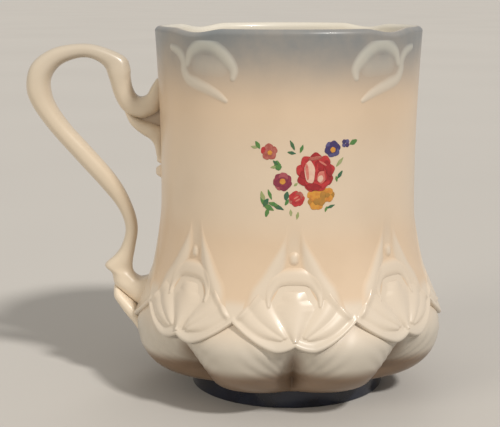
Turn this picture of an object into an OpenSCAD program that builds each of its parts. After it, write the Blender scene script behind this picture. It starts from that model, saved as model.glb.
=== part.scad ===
// Porcelain mustache cup. Millimetres, Z up, origin on the cup's axis at the table.
// The handle points to -X, the painted side faces -Y and the mustache guard is on the +Y side.

/* [Wall] */
// Height from the table to the top of the rim
cup_h = 100; // [94:0.5:108]
// Outer radius of the wall at the rim
rim_r = 36.4; // [35:0.1:38.5]
// Outer radius of the wall at its waist
waist_r = 35.1; // [34:0.1:37]
// Height of the waist
waist_h = 62; // [58:0.5:66]
// Thickness of the upper wall
wall_t = 3.2; // [2.6:0.1:3.6]
// Depth of the shallow dips in the rim above the scrolls
rim_dip_h = 1; // [0.2:0.1:1.5]

/* [Petals] */
// Outer radius at the widest part of the petals
belly_r = 43.5; // [42.5:0.1:45.5]
// Height of the widest part of the petals
belly_h = 18.5; // [17.5:0.1:19.5]
// Height of the lowest stretch of the drapery's edge
drape_low_h = 19.6; // [18.5:0.1:20.5]
// Height of the drapery's edge where two drapes meet over a petal
drape_peak_h = 26.4; // [24.5:0.1:28]
// Step from the drapery down to the petal under it
drape_step_w = 1.2; // [0.6:0.1:1.5]
// Depth of the drapery's rounded edge
drape_lip_w = 0.5; // [0.2:0.1:0.8]

/* [Foot] */
// Radius of the foot at the table
foot_r = 27; // [26:0.1:27.6]
// Radius of the foot where it meets the bowl
foot_top_r = 28.2; // [27.8:0.1:29]
// Height of the foot
foot_h = 5.2; // [5:0.1:5.6]
// Width of the foot's bearing ring
foot_w = 4.2; // [3:0.1:5]
// Thickness of the cup's base over the foot
base_t = 3.2; // [2.5:0.1:4]

/* [Guard] */
// Depth of the guard's top below the rim
guard_drop = 3.6; // [3:0.1:4.5]
// Thickness of the guard
guard_t = 2.6; // [2:0.1:3]
// Width of the ledge that the guard sits on
guard_ledge = 0.8; // [0.5:0.1:1.2]
// Distance of the guard's inner edge from the cup's axis
guard_edge_y = 8; // [6:0.5:10]
// Radius of the guard's two rounded lobes
guard_lobe_r = 17; // [16:0.1:19]
// Distance of each lobe's middle from the cup's middle
guard_lobe_x = 14; // [12.5:0.1:15]
// Width of the sip opening at the wall
sip_w = 28; // [24:0.5:31]
// Depth of the sip opening from the wall
sip_d = 9; // [7.5:0.1:10]

/* [Handle] */
// Distance of the handle's outermost point from the cup's axis
handle_reach = 71.7; // [68:0.1:75]
// Height of the handle's top
handle_top_h = 95.1; // [92:0.1:96]
// Height of the handle's lowest point
handle_low_h = 22.2; // [21.8:0.1:23]
// Width of the handle at its widest
handle_w = 8.4; // [7:0.1:9.5]

/* [Ornament] */
// Half width of the ribs that frame each field
rib_half_w = 0.9; // [0.6:0.1:1.1]
// Height of the ribs over the wall
rib_relief_h = 0.7; // [0.4:0.1:0.9]
// Height above the table where each pair of ribs starts
rib_top_h = 52; // [48:0.5:56]
// Radius of the bead
bead_r = 1.5; // [1:0.1:1.8]
// Height of the shells and of the boss over the wall
shell_relief_h = 1.5; // [0.8:0.1:2]
// Half width of the scrolls under the rim
scroll_half_w = 1; // [0.6:0.1:1.2]
// Height of the scrolls over the wall
scroll_relief_h = 0.8; // [0.4:0.1:1]
// Radius of the round part of each scroll
scroll_r = 6.2; // [5.6:0.1:6.6]

/* [Painted spray] */
// Height above the table of the middle of the large rose
rose_h = 64.7; // [63:0.1:66]
// Distance of the large rose from the middle of the painted side
rose_x = 5.3; // [4:0.1:6.5]
// Radius of the large rose
rose_r = 4.5; // [4:0.1:4.8]
// Thickness of the painted layer
paint_t = 0.12; // [0.08:0.01:0.16]

/* [Hidden] */
petals = 8;
cols_per_petal = 12;
cols = petals * cols_per_petal;
petal_step = 360 / petals;
half_step = petal_step / 2;
petal_rows = 9;
wall_rows = 18;
lip_rows = 6;

// Thin gaps between pieces that were stuck together with slip
seat_gap = 0.08;
fit_gap = 0.1;
overrun = 0.5;

// Roll at the drapery's edge, as heights above the edge
roll_mid_h = 0.8;
roll_top_h = 2.2;
step_drop_h = 0.5;
shell_angle = 6.5;
edge_cusp_h = 1.2;
edge_power = 1.7;

// Places of the pendant's pieces, as shares of the height from the drapery's peaks to the ribs' tops,
// and for the shells of the height from the drapery's low edge to its peaks
bead_share = 0.629;
cap_share = 0.434;
boss_share = 0.102;
shell_share = 0.88;

// Sizes of the pendant's pieces, and how far the shells lie to the side
cap_half_w = 3.2;
cap_half_h = 1.9;
cap_pinch_share = 0.45;
boss_half_w = 3.5;
boss_half_h = 4.9;
boss_pinch_share = 0.3;
shell_off_w = 7.6;
shell_half_l = 5.2;
shell_half_w = 2;
shell_tilt_angle = 50;
shell_bend_share = 0.5;
scroll_drop = 2.4;

// Leaf and drop on the wall under the handle's upper end
tail_leaf_h = 64;
tail_leaf_half_l = 4.6;
tail_leaf_half_w = 1.7;

// Foot and base, with the height up to which the notches reach the foot's own radius
foot_inset = 0.3;
foot_band_h = 1.5;
notch_low_h = 9.5;
belly_wall_t = 6;
cavity_rise = 4.5;

// Share of the petal's swell that is left out at a notch, at the drapery and at the foot
notch_top_share = 0.02;
notch_low_share = 0.95;
notch_power = 2.2;

lip_half_t = wall_t / 2;
pocket_r = rim_r - wall_t;
cavity_r = pocket_r - guard_ledge;
guard_top_h = cup_h - guard_drop;
guard_seat_h = guard_top_h - guard_t;
floor_h = foot_h + base_t;
rim_dip_angle = 15;
rib_top_angle = 3;
rib_power = 2;

function smooth(t) = let(u = max(0, min(1, t))) u * u * (3 - 2 * u);
function mix(a, b, t) = a + (b - a) * t;
function wrap(a, step) = a - step * round(a / step);

// Angle from the nearest notch, which has an ornament above it
function notch_angle(th) = abs(wrap(th, petal_step));
// Angle from the nearest of the four scrolls
function scroll_angle(th) = abs(wrap(th - petal_step, 2 * petal_step));

// Plain wall: a slow taper above the waist and an ogee from the waist to the belly
function wall_r(z) =
    z > waist_h
    ? mix(waist_r, rim_r, pow((z - waist_h) / (cup_h - waist_h), 1.8))
    : mix(waist_r, belly_r, smooth(pow((waist_h - z) / (waist_h - belly_h), 2)));

// The drapery's edge hangs low at each ornament and rises to a point over each petal
function edge_h(th) =
    let(a = notch_angle(th),
        rise = max(0, (a - shell_angle) / (half_step - shell_angle)),
        cusp = max(0, 1 - a / shell_angle))
    mix(drape_low_h, drape_peak_h, pow(rise, edge_power)) + edge_cusp_h * cusp * cusp;

// Petal profile: an elliptic quarter under the belly, and the wall less the step above it
function petal_profile(z) =
    z > belly_h
    ? wall_r(z) - drape_step_w * smooth((z - belly_h) / (drape_peak_h - belly_h))
    : mix(foot_top_r, belly_r, sqrt(max(0, 1 - pow((belly_h - z) / (belly_h - foot_h), 2))));

function notch_share(z) =
    let(t = max(0, min(1, (drape_peak_h - z) / (drape_peak_h - notch_low_h))))
    mix(notch_top_share, notch_low_share, t * t);

function petal_r(th, z) =
    let(across = 1 - notch_angle(th) / half_step)
    foot_top_r + (petal_profile(z) - foot_top_r) * (1 - notch_share(z) * pow(across, notch_power));

// Outside of the finished bowl at any angle and height, with the step between drapery and petals
function bowl_r(th, z) =
    let(e = edge_h(th))
    mix(petal_r(th, min(z, e)), wall_r(max(z, e)), smooth((z - e + step_drop_h) / step_drop_h));

function rim_h(th) =
    let(t = min(1, scroll_angle(th) / rim_dip_angle))
    cup_h - rim_dip_h * pow(1 - t * t, 2);

function at(th, r, z) = [r * cos(th), r * sin(th), z];

// Faces of a closed tube of n rings with m points each
function tube_faces(n, m) = concat(
    [for (i = [1 : m - 2]) [0, i, i + 1]],
    [for (j = [0 : n - 2], i = [0 : m - 1], half = [0 : 1])
        let(a = j * m + i, b = j * m + (i + 1) % m, c = b + m, d = a + m)
        half == 0 ? [a, c, b] : [a, d, c]],
    [for (i = [1 : m - 2]) [(n - 1) * m, (n - 1) * m + i + 1, (n - 1) * m + i]]);

module tube(rings) {
    points = [for (ring = rings, p = ring) p];
    polyhedron(points, tube_faces(len(rings), len(rings[0])), convexity = 8);
}

// A point lying on the bowl, s to the side of the angle th0, z above the table and h over the surface
function on_bowl(th0, s, z, h) =
    let(th = th0 + s / wall_r(z) * 180 / PI)
    at(th, bowl_r(th, z) + seat_gap + h, z);

// A raised strip that follows a path of [side, height] points on the bowl
function strip_rings(th0, path, half_w, relief) =
    let(last = len(path) - 1)
    [for (i = [0 : last])
        let(d = path[min(last, i + 1)] - path[max(0, i - 1)],
            n = [d[1], -d[0]] / norm(d),
            taper = mix(0.25, 1, pow(sin(180 * i / last), 0.6)),
            w = half_w * taper,
            h = relief * taper,
            p = path[i])
        [for (k = [[-1, 0], [-0.55, 1], [0.55, 1], [1, 0]])
            on_bowl(th0, p[0] + n[0] * w * k[0], p[1] + n[1] * w * k[0], h * k[1])]];

module strip(th0, path, half_w, relief) tube(strip_rings(th0, path, half_w, relief));

// A raised dome with an oval outline, turned by tilt, on the bowl. A pinch narrows its lower or first
// end, and a bend curls its ends to one side; both are shares of the half sizes.
dome_shares = [[0.15, 1], [0.5, 0.86], [0.82, 0.5], [1, 0.12], [1, 0], [0.6, 0], [0.15, 0]];
dome_cols = 12;
module dome(th0, side, z, half_a, half_b, tilt, relief, pinch = 0, bend = 0) {
    tube([for (ring = dome_shares)
        [for (i = [0 : dome_cols - 1])
            let(phi = -360 * i / dome_cols,
                u = ring[0] * cos(phi),
                v = ring[0] * sin(phi),
                a = half_a * u * (1 + pinch * v),
                b = half_b * (v + bend * u * u))
            on_bowl(th0, side + a * cos(tilt) - b * sin(tilt), z + a * sin(tilt) + b * cos(tilt),
                relief * ring[1])]]);
}

// Outer rings of the bowl from the foot to the inside of the lip
function bowl_ring(row, th) =
    let(e = edge_h(th), up = rim_h(th) - lip_half_t)
    row <= petal_rows
    ? let(z = mix(foot_h, e - step_drop_h, 1 - cos(90 * row / petal_rows)))
      at(th, petal_r(th, z), z)
    : row == petal_rows + 1 ? at(th, wall_r(e) - drape_lip_w, e)
    : row == petal_rows + 2 ? at(th, wall_r(e) + drape_lip_w, e + roll_mid_h)
    : row <= petal_rows + 3 + wall_rows
    ? let(z = mix(e + roll_top_h, up, pow((row - petal_rows - 3) / wall_rows, 1.3)))
      at(th, wall_r(z), z)
    : let(phi = 180 * (row - petal_rows - 3 - wall_rows) / lip_rows)
      at(th, rim_r - lip_half_t + lip_half_t * cos(phi), up + lip_half_t * sin(phi));

last_row = petal_rows + 3 + wall_rows + lip_rows;

module bowl_skin() {
    tube(concat(
        [for (row = [0 : last_row]) [for (i = [0 : cols - 1]) bowl_ring(row, -360 * i / cols)]],
        [[for (i = [0 : cols - 1]) at(-360 * i / cols, pocket_r, guard_seat_h)]]));
}

// Inside of the cup: it follows the wall down to the belly and closes in a bowl over the foot
cavity_steps = 14;
cavity_belly_r = belly_r - belly_wall_t;
cavity_belly_h = belly_h + cavity_rise;
function cavity_wall_r(z) =
    z > waist_h
    ? cavity_r
    : mix(cavity_r, cavity_belly_r, smooth(pow((waist_h - z) / (waist_h - cavity_belly_h), 2)));

module cavity() {
    top_h = guard_seat_h + overrun;
    side = [for (i = [0 : cavity_steps])
        let(z = mix(waist_h, cavity_belly_h, i / cavity_steps))
        [cavity_wall_r(z), z]];
    bottom = [for (phi = [12 : 13 : 90])
        [cavity_belly_r * cos(phi), mix(cavity_belly_h, floor_h, sin(phi))]];
    rotate_extrude() polygon(concat([[0, top_h], [cavity_r, top_h]], side, bottom));
}

module cup_body() color("ivory") difference() {
    bowl_skin();
    cavity();
}

module foot_ring() color("darkslateblue") rotate_extrude() {
    top_r = foot_top_r - foot_inset;
    polygon([
        [foot_r - foot_w, 0],
        [foot_r, 0],
        [foot_r, foot_band_h],
        [top_r, foot_h],
        [foot_r - foot_w, foot_h]]);
}

// The guard's inner edge is a bow of two lobes that meet in a point, and the sip opening is cut at the wall
sip_chord_y = sqrt(pocket_r * pocket_r - sip_w * sip_w / 4);
sip_rise = sip_chord_y - (pocket_r - sip_d);
sip_r = (sip_w * sip_w / 4 + sip_rise * sip_rise) / (2 * sip_rise);
guard_r = pocket_r * cos(180 / cols) - fit_gap;
guard_lobe_y = guard_edge_y + guard_lobe_r;

module mustache_guard() color("ivory") translate([0, 0, guard_seat_h + seat_gap])
    linear_extrude(guard_t) difference() {
        intersection() {
            circle(r = guard_r);
            union() {
                translate([-rim_r, guard_lobe_y]) square([2 * rim_r, rim_r]);
                for (side = [-1, 1])
                    translate([side * guard_lobe_x, guard_lobe_y]) circle(r = guard_lobe_r);
            }
        }
        translate([0, pocket_r - sip_d + sip_r]) circle(r = sip_r);
    }

// Stations of the handle: one edge's place, the other edge's place, and the width. A place is the
// distance from the wall at its height, as a share of the reach, and the height, as a share of the whole.
handle_shares = [
    [0.018, 0.835, 0.028, 0.645, 0.8],
    [0.145, 0.802, 0.201, 0.697, 0.8],
    [0.212, 0.84, 0.337, 0.798, 0.8],
    [0.201, 0.911, 0.371, 0.888, 0.85],
    [0.245, 0.953, 0.399, 0.916, 0.7],
    [0.423, 0.992, 0.483, 0.944, 0.65],
    [0.584, 1, 0.585, 0.947, 0.65],
    [0.78, 0.981, 0.715, 0.923, 0.8],
    [0.934, 0.927, 0.795, 0.878, 0.95],
    [0.987, 0.848, 0.808, 0.829, 1],
    [0.956, 0.775, 0.776, 0.771, 1],
    [0.836, 0.68, 0.682, 0.697, 0.95],
    [0.642, 0.564, 0.521, 0.604, 0.85],
    [0.456, 0.458, 0.352, 0.503, 0.75],
    [0.329, 0.377, 0.25, 0.416, 0.65],
    [0.263, 0.299, 0.175, 0.313, 0.6],
    [0.27, 0.23, 0.162, 0.222, 0.62],
    [0.301, 0.192, 0.15, 0.17, 0.7],
    [0.352, 0.154, 0.126, 0.137, 0.72],
    [0.277, 0.123, 0.083, 0.115, 0.82],
    [0.215, 0.078, 0.024, 0.103, 0.92],
    [0.09, 0.033, -0.022, 0.111, 1],
    [-0.008, 0, -0.036, 0.123, 1.05]];

// Stations of the shell under the handle's heel, in the same shares
heel_shell_shares = [
    [0.208, 0.069, 0.176, 0.057, 0.25],
    [0.166, 0.031, 0.078, 0.023, 0.9],
    [0.112, -0.005, -0.014, -0.011, 1.15],
    [0.05, -0.041, -0.079, -0.049, 1.2],
    [0.002, -0.069, -0.13, -0.085, 1.15],
    [-0.05, -0.111, -0.18, -0.123, 0.95],
    [-0.107, -0.155, -0.21, -0.159, 0.45]];

handle_side = 14;
handle_steps = 3;
handle_full = 0.85;

// Catmull-Rom curve through a list of stations, with steps pieces between two of them
function curve_point(p, i, t) =
    let(n = len(p) - 1, a = p[max(0, i - 1)], b = p[i], c = p[min(n, i + 1)], d = p[min(n, i + 2)])
    0.5 * (2 * b + (c - a) * t + (2 * a - 5 * b + 4 * c - d) * t * t
        + (3 * b - a - 3 * c + d) * t * t * t);
function curve(p, steps) = concat(
    [for (i = [0 : len(p) - 2], k = [0 : steps - 1]) curve_point(p, i, k / steps)],
    [p[len(p) - 1]]);

function full(v) = sign(v) * pow(abs(v), handle_full);

// A ring of the handle's oval section in the plane of the cup's axis, kept outside the bowl
function handle_ring(s, seated) =
    let(reach = handle_reach - waist_r,
        tall = handle_top_h - handle_low_h,
        za = handle_low_h + tall * s[1],
        zb = handle_low_h + tall * s[3],
        a = [wall_r(za) + reach * s[0], za],
        b = [wall_r(zb) + reach * s[2], zb],
        mid = (a + b) / 2,
        half = (a - b) / 2)
    [for (i = [0 : handle_side - 1])
        let(phi = 360 * i / handle_side,
            c = mid + half * full(cos(phi)),
            y = handle_w / 2 * s[4] * full(sin(phi)),
            z = c[1],
            th = 180 - atan2(y, c[0]),
            wall = bowl_r(th, z) + seat_gap)
        at(th, seated ? wall : max(wall, norm([c[0], y])), z)];

function handle_rings(shares, steps) =
    let(stations = curve(shares, steps), last = len(stations) - 1)
    [for (i = [0 : last]) handle_ring(stations[i], i == 0 || i == last)];

module handle() color("lavenderblush") tube(handle_rings(handle_shares, handle_steps));

module heel_shell() color("ivory") tube([for (s = curve(heel_shell_shares, 2)) handle_ring(s, false)]);

// Leaf and drop that run down the wall from the handle's upper end
module tail_leaf() color("lavenderblush") {
    dome(180, 0, tail_leaf_h, tail_leaf_half_l, tail_leaf_half_w, 90, shell_relief_h);
    dome(180, 0, tail_leaf_h - tail_leaf_half_l - bead_r, bead_r, bead_r, 0, bead_r);
}

// Rib pair that frames the field over one notch
rib_steps = 11;
rib_end_share = 0.95;
function rib_angle(z) =
    mix(rib_top_angle, half_step, pow((rib_top_h - z) / (rib_top_h - drape_peak_h), rib_power));
module rib_pair(k) color("ivory") for (side = [-1, 1])
    strip(petal_step * k, [for (i = [0 : rib_steps])
        let(z = mix(rib_top_h, drape_peak_h, rib_end_share * i / rib_steps))
        [side * rib_angle(z) * wall_r(z) * PI / 180, z]], rib_half_w, rib_relief_h);

// Pendant over one notch: a bead, a flared cap, a boss and two curled shells
function field_h(share) = mix(drape_peak_h, rib_top_h, share);
module pendant(k) color("ivory") {
    th = petal_step * k;
    dome(th, 0, field_h(bead_share), bead_r, bead_r, 0, bead_r);
    dome(th, 0, field_h(cap_share), cap_half_w, cap_half_h, 0, shell_relief_h, -cap_pinch_share);
    dome(th, 0, field_h(boss_share), boss_half_w, boss_half_h, 0, shell_relief_h, boss_pinch_share);
    for (side = [-1, 1])
        dome(th, side * shell_off_w, mix(drape_low_h, drape_peak_h, shell_share), shell_half_l, shell_half_w,
            side * shell_tilt_angle, shell_relief_h, 0, side * shell_bend_share);
}

// Scroll under the rim: a round arch beside a branch that sweeps under it
arch_side_share = 0.9;
branch_side_share = 1.1;
branch_wide_share = 2.4;
branch_drop_share = 0.25;
branch_deep_share = 2.1;
module rim_scroll(k) color("lightsteelblue") {
    th = petal_step * k;
    lean = k % 4 == 1 ? 1 : -1;
    top = cup_h - rim_dip_h - scroll_drop;
    arch = [for (phi = [-35 : 20 : 205])
        [lean * scroll_r * (arch_side_share + cos(phi)), top - scroll_r + scroll_r * sin(phi)]];
    strip(th, arch, scroll_half_w, scroll_relief_h);
    branch = [for (phi = [0 : 12 : 96])
        [lean * scroll_r * (branch_side_share - branch_wide_share * cos(phi)),
         top - scroll_r * (branch_drop_share + branch_deep_share * sin(phi))]];
    strip(th, branch, scroll_half_w, scroll_relief_h);
}

// Thin layer of paint over the wall, as high as the spray
spray_low_share = -3;
spray_high_share = 2.2;
spray_steps = 10;
module paint_skin() {
    heights = [for (i = [0 : spray_steps])
        rose_h + rose_r * mix(spray_low_share, spray_high_share, i / spray_steps)];
    rotate_extrude() polygon(concat(
        [for (z = heights) [wall_r(z) + seat_gap, z]],
        [for (i = [spray_steps : -1 : 0]) [wall_r(heights[i]) + seat_gap + paint_t, heights[i]]]));
}

// Paints the flat outline given as children on the wall's -Y side, from the middle of the rose
module painted(colour) color(colour) intersection() {
    paint_skin();
    translate([rose_x, 0, rose_h]) rotate([90, 0, 0]) linear_extrude(rim_r + overrun) children();
}

// Places a mark by shares of the large rose's radius
module spot(place) translate([place[0] * rose_r, place[1] * rose_r]) children();

module petal_ring(n, r, petal_share) for (i = [0 : n - 1])
    rotate(360 * i / n) translate([r * (1 - petal_share), 0]) circle(r = r * petal_share);

module ring_flower(place, r_share) spot(place) difference() {
    petal_ring(flower_petals, rose_r * r_share, flower_petal_share);
    circle(r = rose_r * r_share * eye_share);
}

module eye(place, r_share) spot(place) circle(r = rose_r * r_share * (eye_share - eye_gap_share));

// A leaf is the lens between two equal arcs
module leaf(place, length_share, turn) spot(place) rotate(turn) {
    half = rose_r * length_share / 2;
    bend = half * leaf_bend_share;
    intersection() {
        translate([0, bend]) circle(r = norm([half, bend]));
        translate([0, -bend]) circle(r = norm([half, bend]));
    }
}

// Shares that the marks are drawn with
flower_petal_share = 0.48;
eye_share = 0.36;
eye_gap_share = 0.06;
leaf_bend_share = 1.5;
rose_petal_share = 0.4;
rose_petals = 8;
flower_petals = 5;

// Each pale gap in the large rose: its place, its radius and how far its two discs lie apart
rose_gap_shares = [[[-0.28, -0.05], 0.2, 0.28], [[0.4, -0.3], 0.14, 0.2]];

// Places of the flowers, each with its size, in shares of the large rose's radius
red_flower_shares = [[[-2.6, 1.13], 0.44], [[-1.06, -1.49], 0.42]];
mauve_flower_shares = [[[-1.84, -0.53], 0.5]];
blue_flower_shares = [[[0.97, 1.33], 0.4], [[1.76, 1.6], 0.28]];
yellow_flower_shares = [[[0.07, -1.69], 0.38], [[0.68, -1.4], 0.3]];

// Places of the leaves, each with its length and turn
leaf_shares = [
    [[-3.3, 1.56], 0.75, 150], [[-2.2, 0.3], 0.7, 60], [[-1.3, 1.66], 0.7, 100],
    [[-1.42, 1.08], 0.6, 20], [[-0.72, 1.36], 0.6, 70], [[2.3, 1.75], 0.6, 20],
    [[1.45, 0.5], 0.6, 60], [[1.5, -0.3], 0.6, 10], [[-2.75, -1.9], 0.75, 130],
    [[-2.1, -2.0], 0.8, 160], [[-2.6, -1.2], 0.8, 110], [[-1.75, -1.2], 0.55, 50],
    [[-1.42, -2.35], 0.5, 80], [[-0.95, -2.45], 0.5, 100], [[0.95, -2.05], 0.6, 40]];

module painted_rose() painted("crimson") difference() {
    petal_ring(rose_petals, rose_r, rose_petal_share);
    for (g = rose_gap_shares, dir = [-1, 1])
        spot(g[0] + [0, dir * g[2] / 2]) circle(r = rose_r * g[1]);
}
module painted_red_flowers() painted("indianred")
    for (f = red_flower_shares) ring_flower(f[0], f[1]);
module painted_mauve_flower() painted("mediumvioletred")
    for (f = mauve_flower_shares) ring_flower(f[0], f[1]);
module painted_blue_flowers() painted("midnightblue")
    for (f = blue_flower_shares) ring_flower(f[0], f[1]);
module painted_yellow_flowers() painted("goldenrod") {
    for (f = yellow_flower_shares) ring_flower(f[0], f[1]);
    for (f = concat(red_flower_shares, mauve_flower_shares, blue_flower_shares)) eye(f[0], f[1]);
}
module painted_leaves() painted("seagreen")
    for (l = leaf_shares) leaf(l[0], l[1], l[2]);

// The handle covers the notch at -X, so no pendant hangs there
pendants = [0, 1, 2, 3, 5, 6, 7];
scrolls = [1, 3, 5, 7];

cup_body();
foot_ring();
mustache_guard();
handle();
heel_shell();
tail_leaf();
for (k = scrolls) rim_scroll(k);
for (i = [0 : len(pendants) - 1])
    pendant(pendants[i]);
for (k = [0 : petals - 1]) rib_pair(k);
painted_rose();
painted_red_flowers();
painted_mauve_flower();
painted_blue_flowers();
painted_yellow_flowers();
painted_leaves();
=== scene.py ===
"""Porcelain mustache cup: fine moulded meshes and glazes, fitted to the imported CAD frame."""

import logging
import math
from dataclasses import dataclass
from enum import Enum
from typing import Callable, Sequence

import bmesh
import bpy
import numpy as np
from mathutils import Matrix, Vector


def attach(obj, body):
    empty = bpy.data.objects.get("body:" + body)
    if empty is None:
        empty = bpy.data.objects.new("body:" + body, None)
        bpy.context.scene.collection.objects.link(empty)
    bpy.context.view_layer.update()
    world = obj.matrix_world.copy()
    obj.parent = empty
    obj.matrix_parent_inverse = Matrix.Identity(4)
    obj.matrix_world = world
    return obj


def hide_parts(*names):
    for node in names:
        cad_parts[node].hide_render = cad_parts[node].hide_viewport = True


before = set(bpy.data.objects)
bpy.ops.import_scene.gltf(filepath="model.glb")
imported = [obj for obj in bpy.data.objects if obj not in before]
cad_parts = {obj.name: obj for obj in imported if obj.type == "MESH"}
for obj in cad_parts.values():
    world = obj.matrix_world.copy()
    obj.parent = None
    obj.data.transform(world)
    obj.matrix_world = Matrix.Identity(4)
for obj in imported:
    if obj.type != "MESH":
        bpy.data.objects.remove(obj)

logging.basicConfig(level=logging.INFO, format="%(name)s %(relativeCreated)d ms: %(message)s")
LOG = logging.getLogger("mustache_cup")
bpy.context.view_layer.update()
MM = 0.001
TURN = 2 * math.pi
Place = Callable[[float, float], Vector]


class Slot(Enum):
    """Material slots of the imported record."""

    WHITE = "white_glaze"
    BLUE = "blue_glaze"
    HANDLE = "handle_glaze"
    RED = "red_enamel"
    MAUVE = "mauve_enamel"
    NAVY = "navy_enamel"
    YELLOW = "yellow_enamel"
    GREEN = "green_enamel"


def mix(a: float, b: float, t: float) -> float:
    """Value t of the way from a to b."""
    return a + (b - a) * t


def smooth(t: float) -> float:
    """Soft step that rises from 0 at 0 to 1 at 1."""
    u = max(0.0, min(1.0, t))
    return u * u * (3 - 2 * u)


def hill(t: float) -> float:
    """Soft hill that is 1 at 0 and falls to 0 at 1 and -1."""
    u = max(0.0, 1 - t * t)
    return u * u


def curve_point(points: Sequence[Sequence[float]], t: float) -> list[float]:
    """Point on a Catmull-Rom curve.

    Args:
        points: The curve's points, each a row of numbers of one length.
        t: Place along the curve, from 0 to 1.

    Returns:
        The row of numbers at that place.
    """
    last = len(points) - 1
    i = min(last - 1, int(t * last))
    u = t * last - i
    a, b, c, d = (points[max(0, min(last, i + k))] for k in (-1, 0, 1, 2))
    return [0.5 * (2 * q + (r - p) * u + (2 * p - 5 * q + 4 * r - s) * u * u
                   + (3 * q - p - 3 * r + s) * u ** 3) for p, q, r, s in zip(a, b, c, d)]


@dataclass(frozen=True)
class BowlForm:
    """Form of the moulded bowl in millimetres, as in the CAD solid, with its fine relief."""

    cup_h: float = 100.0
    rim_r: float = 36.4
    waist_r: float = 35.1
    waist_h: float = 62.0
    flare_power: float = 1.8
    wall_t: float = 3.2
    rim_dip: float = 1.0
    rim_dip_angle: float = 15.0
    scroll_bearing: float = 45.0
    scroll_step: float = 90.0
    belly_r: float = 43.5
    belly_h: float = 18.5
    drape_low_h: float = 20.0
    drape_peak_h: float = 26.4
    drape_step: float = 1.2
    edge_cusp: float = 1.4
    edge_power: float = 1.4
    shell_angle: float = 6.5
    foot_top_r: float = 28.2
    foot_h: float = 5.2
    notch_low_h: float = 9.5
    notch_top_share: float = 0.02
    notch_low_share: float = 0.95
    notch_power: float = 2.2
    notch_depth_power: float = 1.7
    rib_top_h: float = 52.0
    rib_top_angle: float = 3.0
    field_depth: float = 0.55
    field_lap: float = 0.6
    field_soft: float = 2.4
    field_fade_h: float = 9.0
    field_gap: float = 0.6
    field_rise_h: float = 2.2
    band_relief: float = 0.3
    band_h: float = 0.9
    band_fade_h: float = 1.4
    flute_depth: float = 0.2
    flute_angle: float = 12.5
    flute_hub_drop: float = 2.0
    flute_hub_side: float = 1.0
    flute_clear: float = 0.8
    flute_soft: float = 2.5
    flute_low_h: float = 9.0
    flute_rise_h: float = 4.0
    flute_edge_angle: float = 9.0
    pale_lap: float = 1.5
    pale_soft: float = 2.5
    pale_field_h: float = 41.0
    pale_field_fade_h: float = 7.0
    pale_edge_h: float = 33.5
    pale_edge_fade_h: float = 5.0
    petals: int = 8

    @property
    def half_step(self) -> float:
        """Half the angle between two notches, in degrees."""
        return 180 / self.petals

    @property
    def lip_r(self) -> float:
        """Radius of the rounded lip."""
        return self.wall_t / 2

    def turned(self, th: float) -> float:
        """Angle in degrees from the nearest notch.

        Args:
            th: Bearing in radians.

        Returns:
            The signed angle.
        """
        step = 2 * self.half_step
        deg = math.degrees(th)
        return deg - step * round(deg / step)

    def wall_r(self, z: float) -> float:
        """Radius of the plain wall.

        Args:
            z: Height in millimetres.

        Returns:
            The radius in millimetres.
        """
        if z > self.waist_h:
            share = (z - self.waist_h) / (self.cup_h - self.waist_h)
            return mix(self.waist_r, self.rim_r, share ** self.flare_power)
        share = (self.waist_h - z) / (self.waist_h - self.belly_h)
        return mix(self.waist_r, self.belly_r, smooth(share ** 2))

    def edge_h(self, th: float) -> float:
        """Height of the drapery's edge.

        Args:
            th: Bearing in radians.

        Returns:
            The height in millimetres.
        """
        a = abs(self.turned(th))
        rise = max(0.0, (a - self.shell_angle) / (self.half_step - self.shell_angle))
        cusp = max(0.0, 1 - a / self.shell_angle)
        return (mix(self.drape_low_h, self.drape_peak_h, rise ** self.edge_power)
                + self.edge_cusp * cusp * cusp)

    def petal_profile(self, z: float) -> float:
        """Radius along the crest of a petal.

        Args:
            z: Height in millimetres.

        Returns:
            The radius in millimetres.
        """
        if z > self.belly_h:
            share = (z - self.belly_h) / (self.drape_peak_h - self.belly_h)
            return self.wall_r(z) - self.drape_step * smooth(share)
        share = min(1.0, (self.belly_h - z) / (self.belly_h - self.foot_h))
        return mix(self.foot_top_r, self.belly_r, math.sqrt(1 - share * share))

    def petal_r(self, th: float, z: float) -> float:
        """Radius of the petals, with the notches and their fine flutes.

        Args:
            th: Bearing in radians.
            z: Height in millimetres.

        Returns:
            The radius in millimetres.
        """
        a = abs(self.turned(th))
        t = max(0.0, min(1.0, (self.drape_peak_h - z) / (self.drape_peak_h - self.notch_low_h)))
        notch = mix(self.notch_top_share, self.notch_low_share, t ** self.notch_depth_power)
        across = 1 - a / self.half_step
        swell = self.petal_profile(z) - self.foot_top_r
        r = self.foot_top_r + swell * (1 - notch * across ** self.notch_power)
        side = math.radians(a) * r
        fan = math.degrees(math.atan2(z - self.notch_low_h + self.flute_hub_drop,
                                      side + self.flute_hub_side))
        fade = (smooth((side - self.flute_clear) / self.flute_soft)
                * smooth((z - self.flute_low_h) / self.flute_rise_h)
                * smooth((self.half_step - a) / self.flute_edge_angle))
        return r - self.flute_depth * fade * (0.5 - 0.5 * math.cos(TURN * fan / self.flute_angle))

    def rim_h(self, th: float) -> float:
        """Height of the rim, with its dip over each scroll.

        Args:
            th: Bearing in radians.

        Returns:
            The height in millimetres.
        """
        deg = math.degrees(th) - self.scroll_bearing
        deg -= self.scroll_step * round(deg / self.scroll_step)
        t = min(1.0, abs(deg) / self.rim_dip_angle)
        return self.cup_h - self.rim_dip * (1 - t * t) ** 2

    def rib_angle(self, z: float) -> float:
        """Angle in degrees from a notch to the ribs of its field."""
        share = (self.rib_top_h - z) / (self.rib_top_h - self.drape_peak_h)
        return mix(self.rib_top_angle, self.half_step, max(0.0, share) ** 2)

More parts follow.
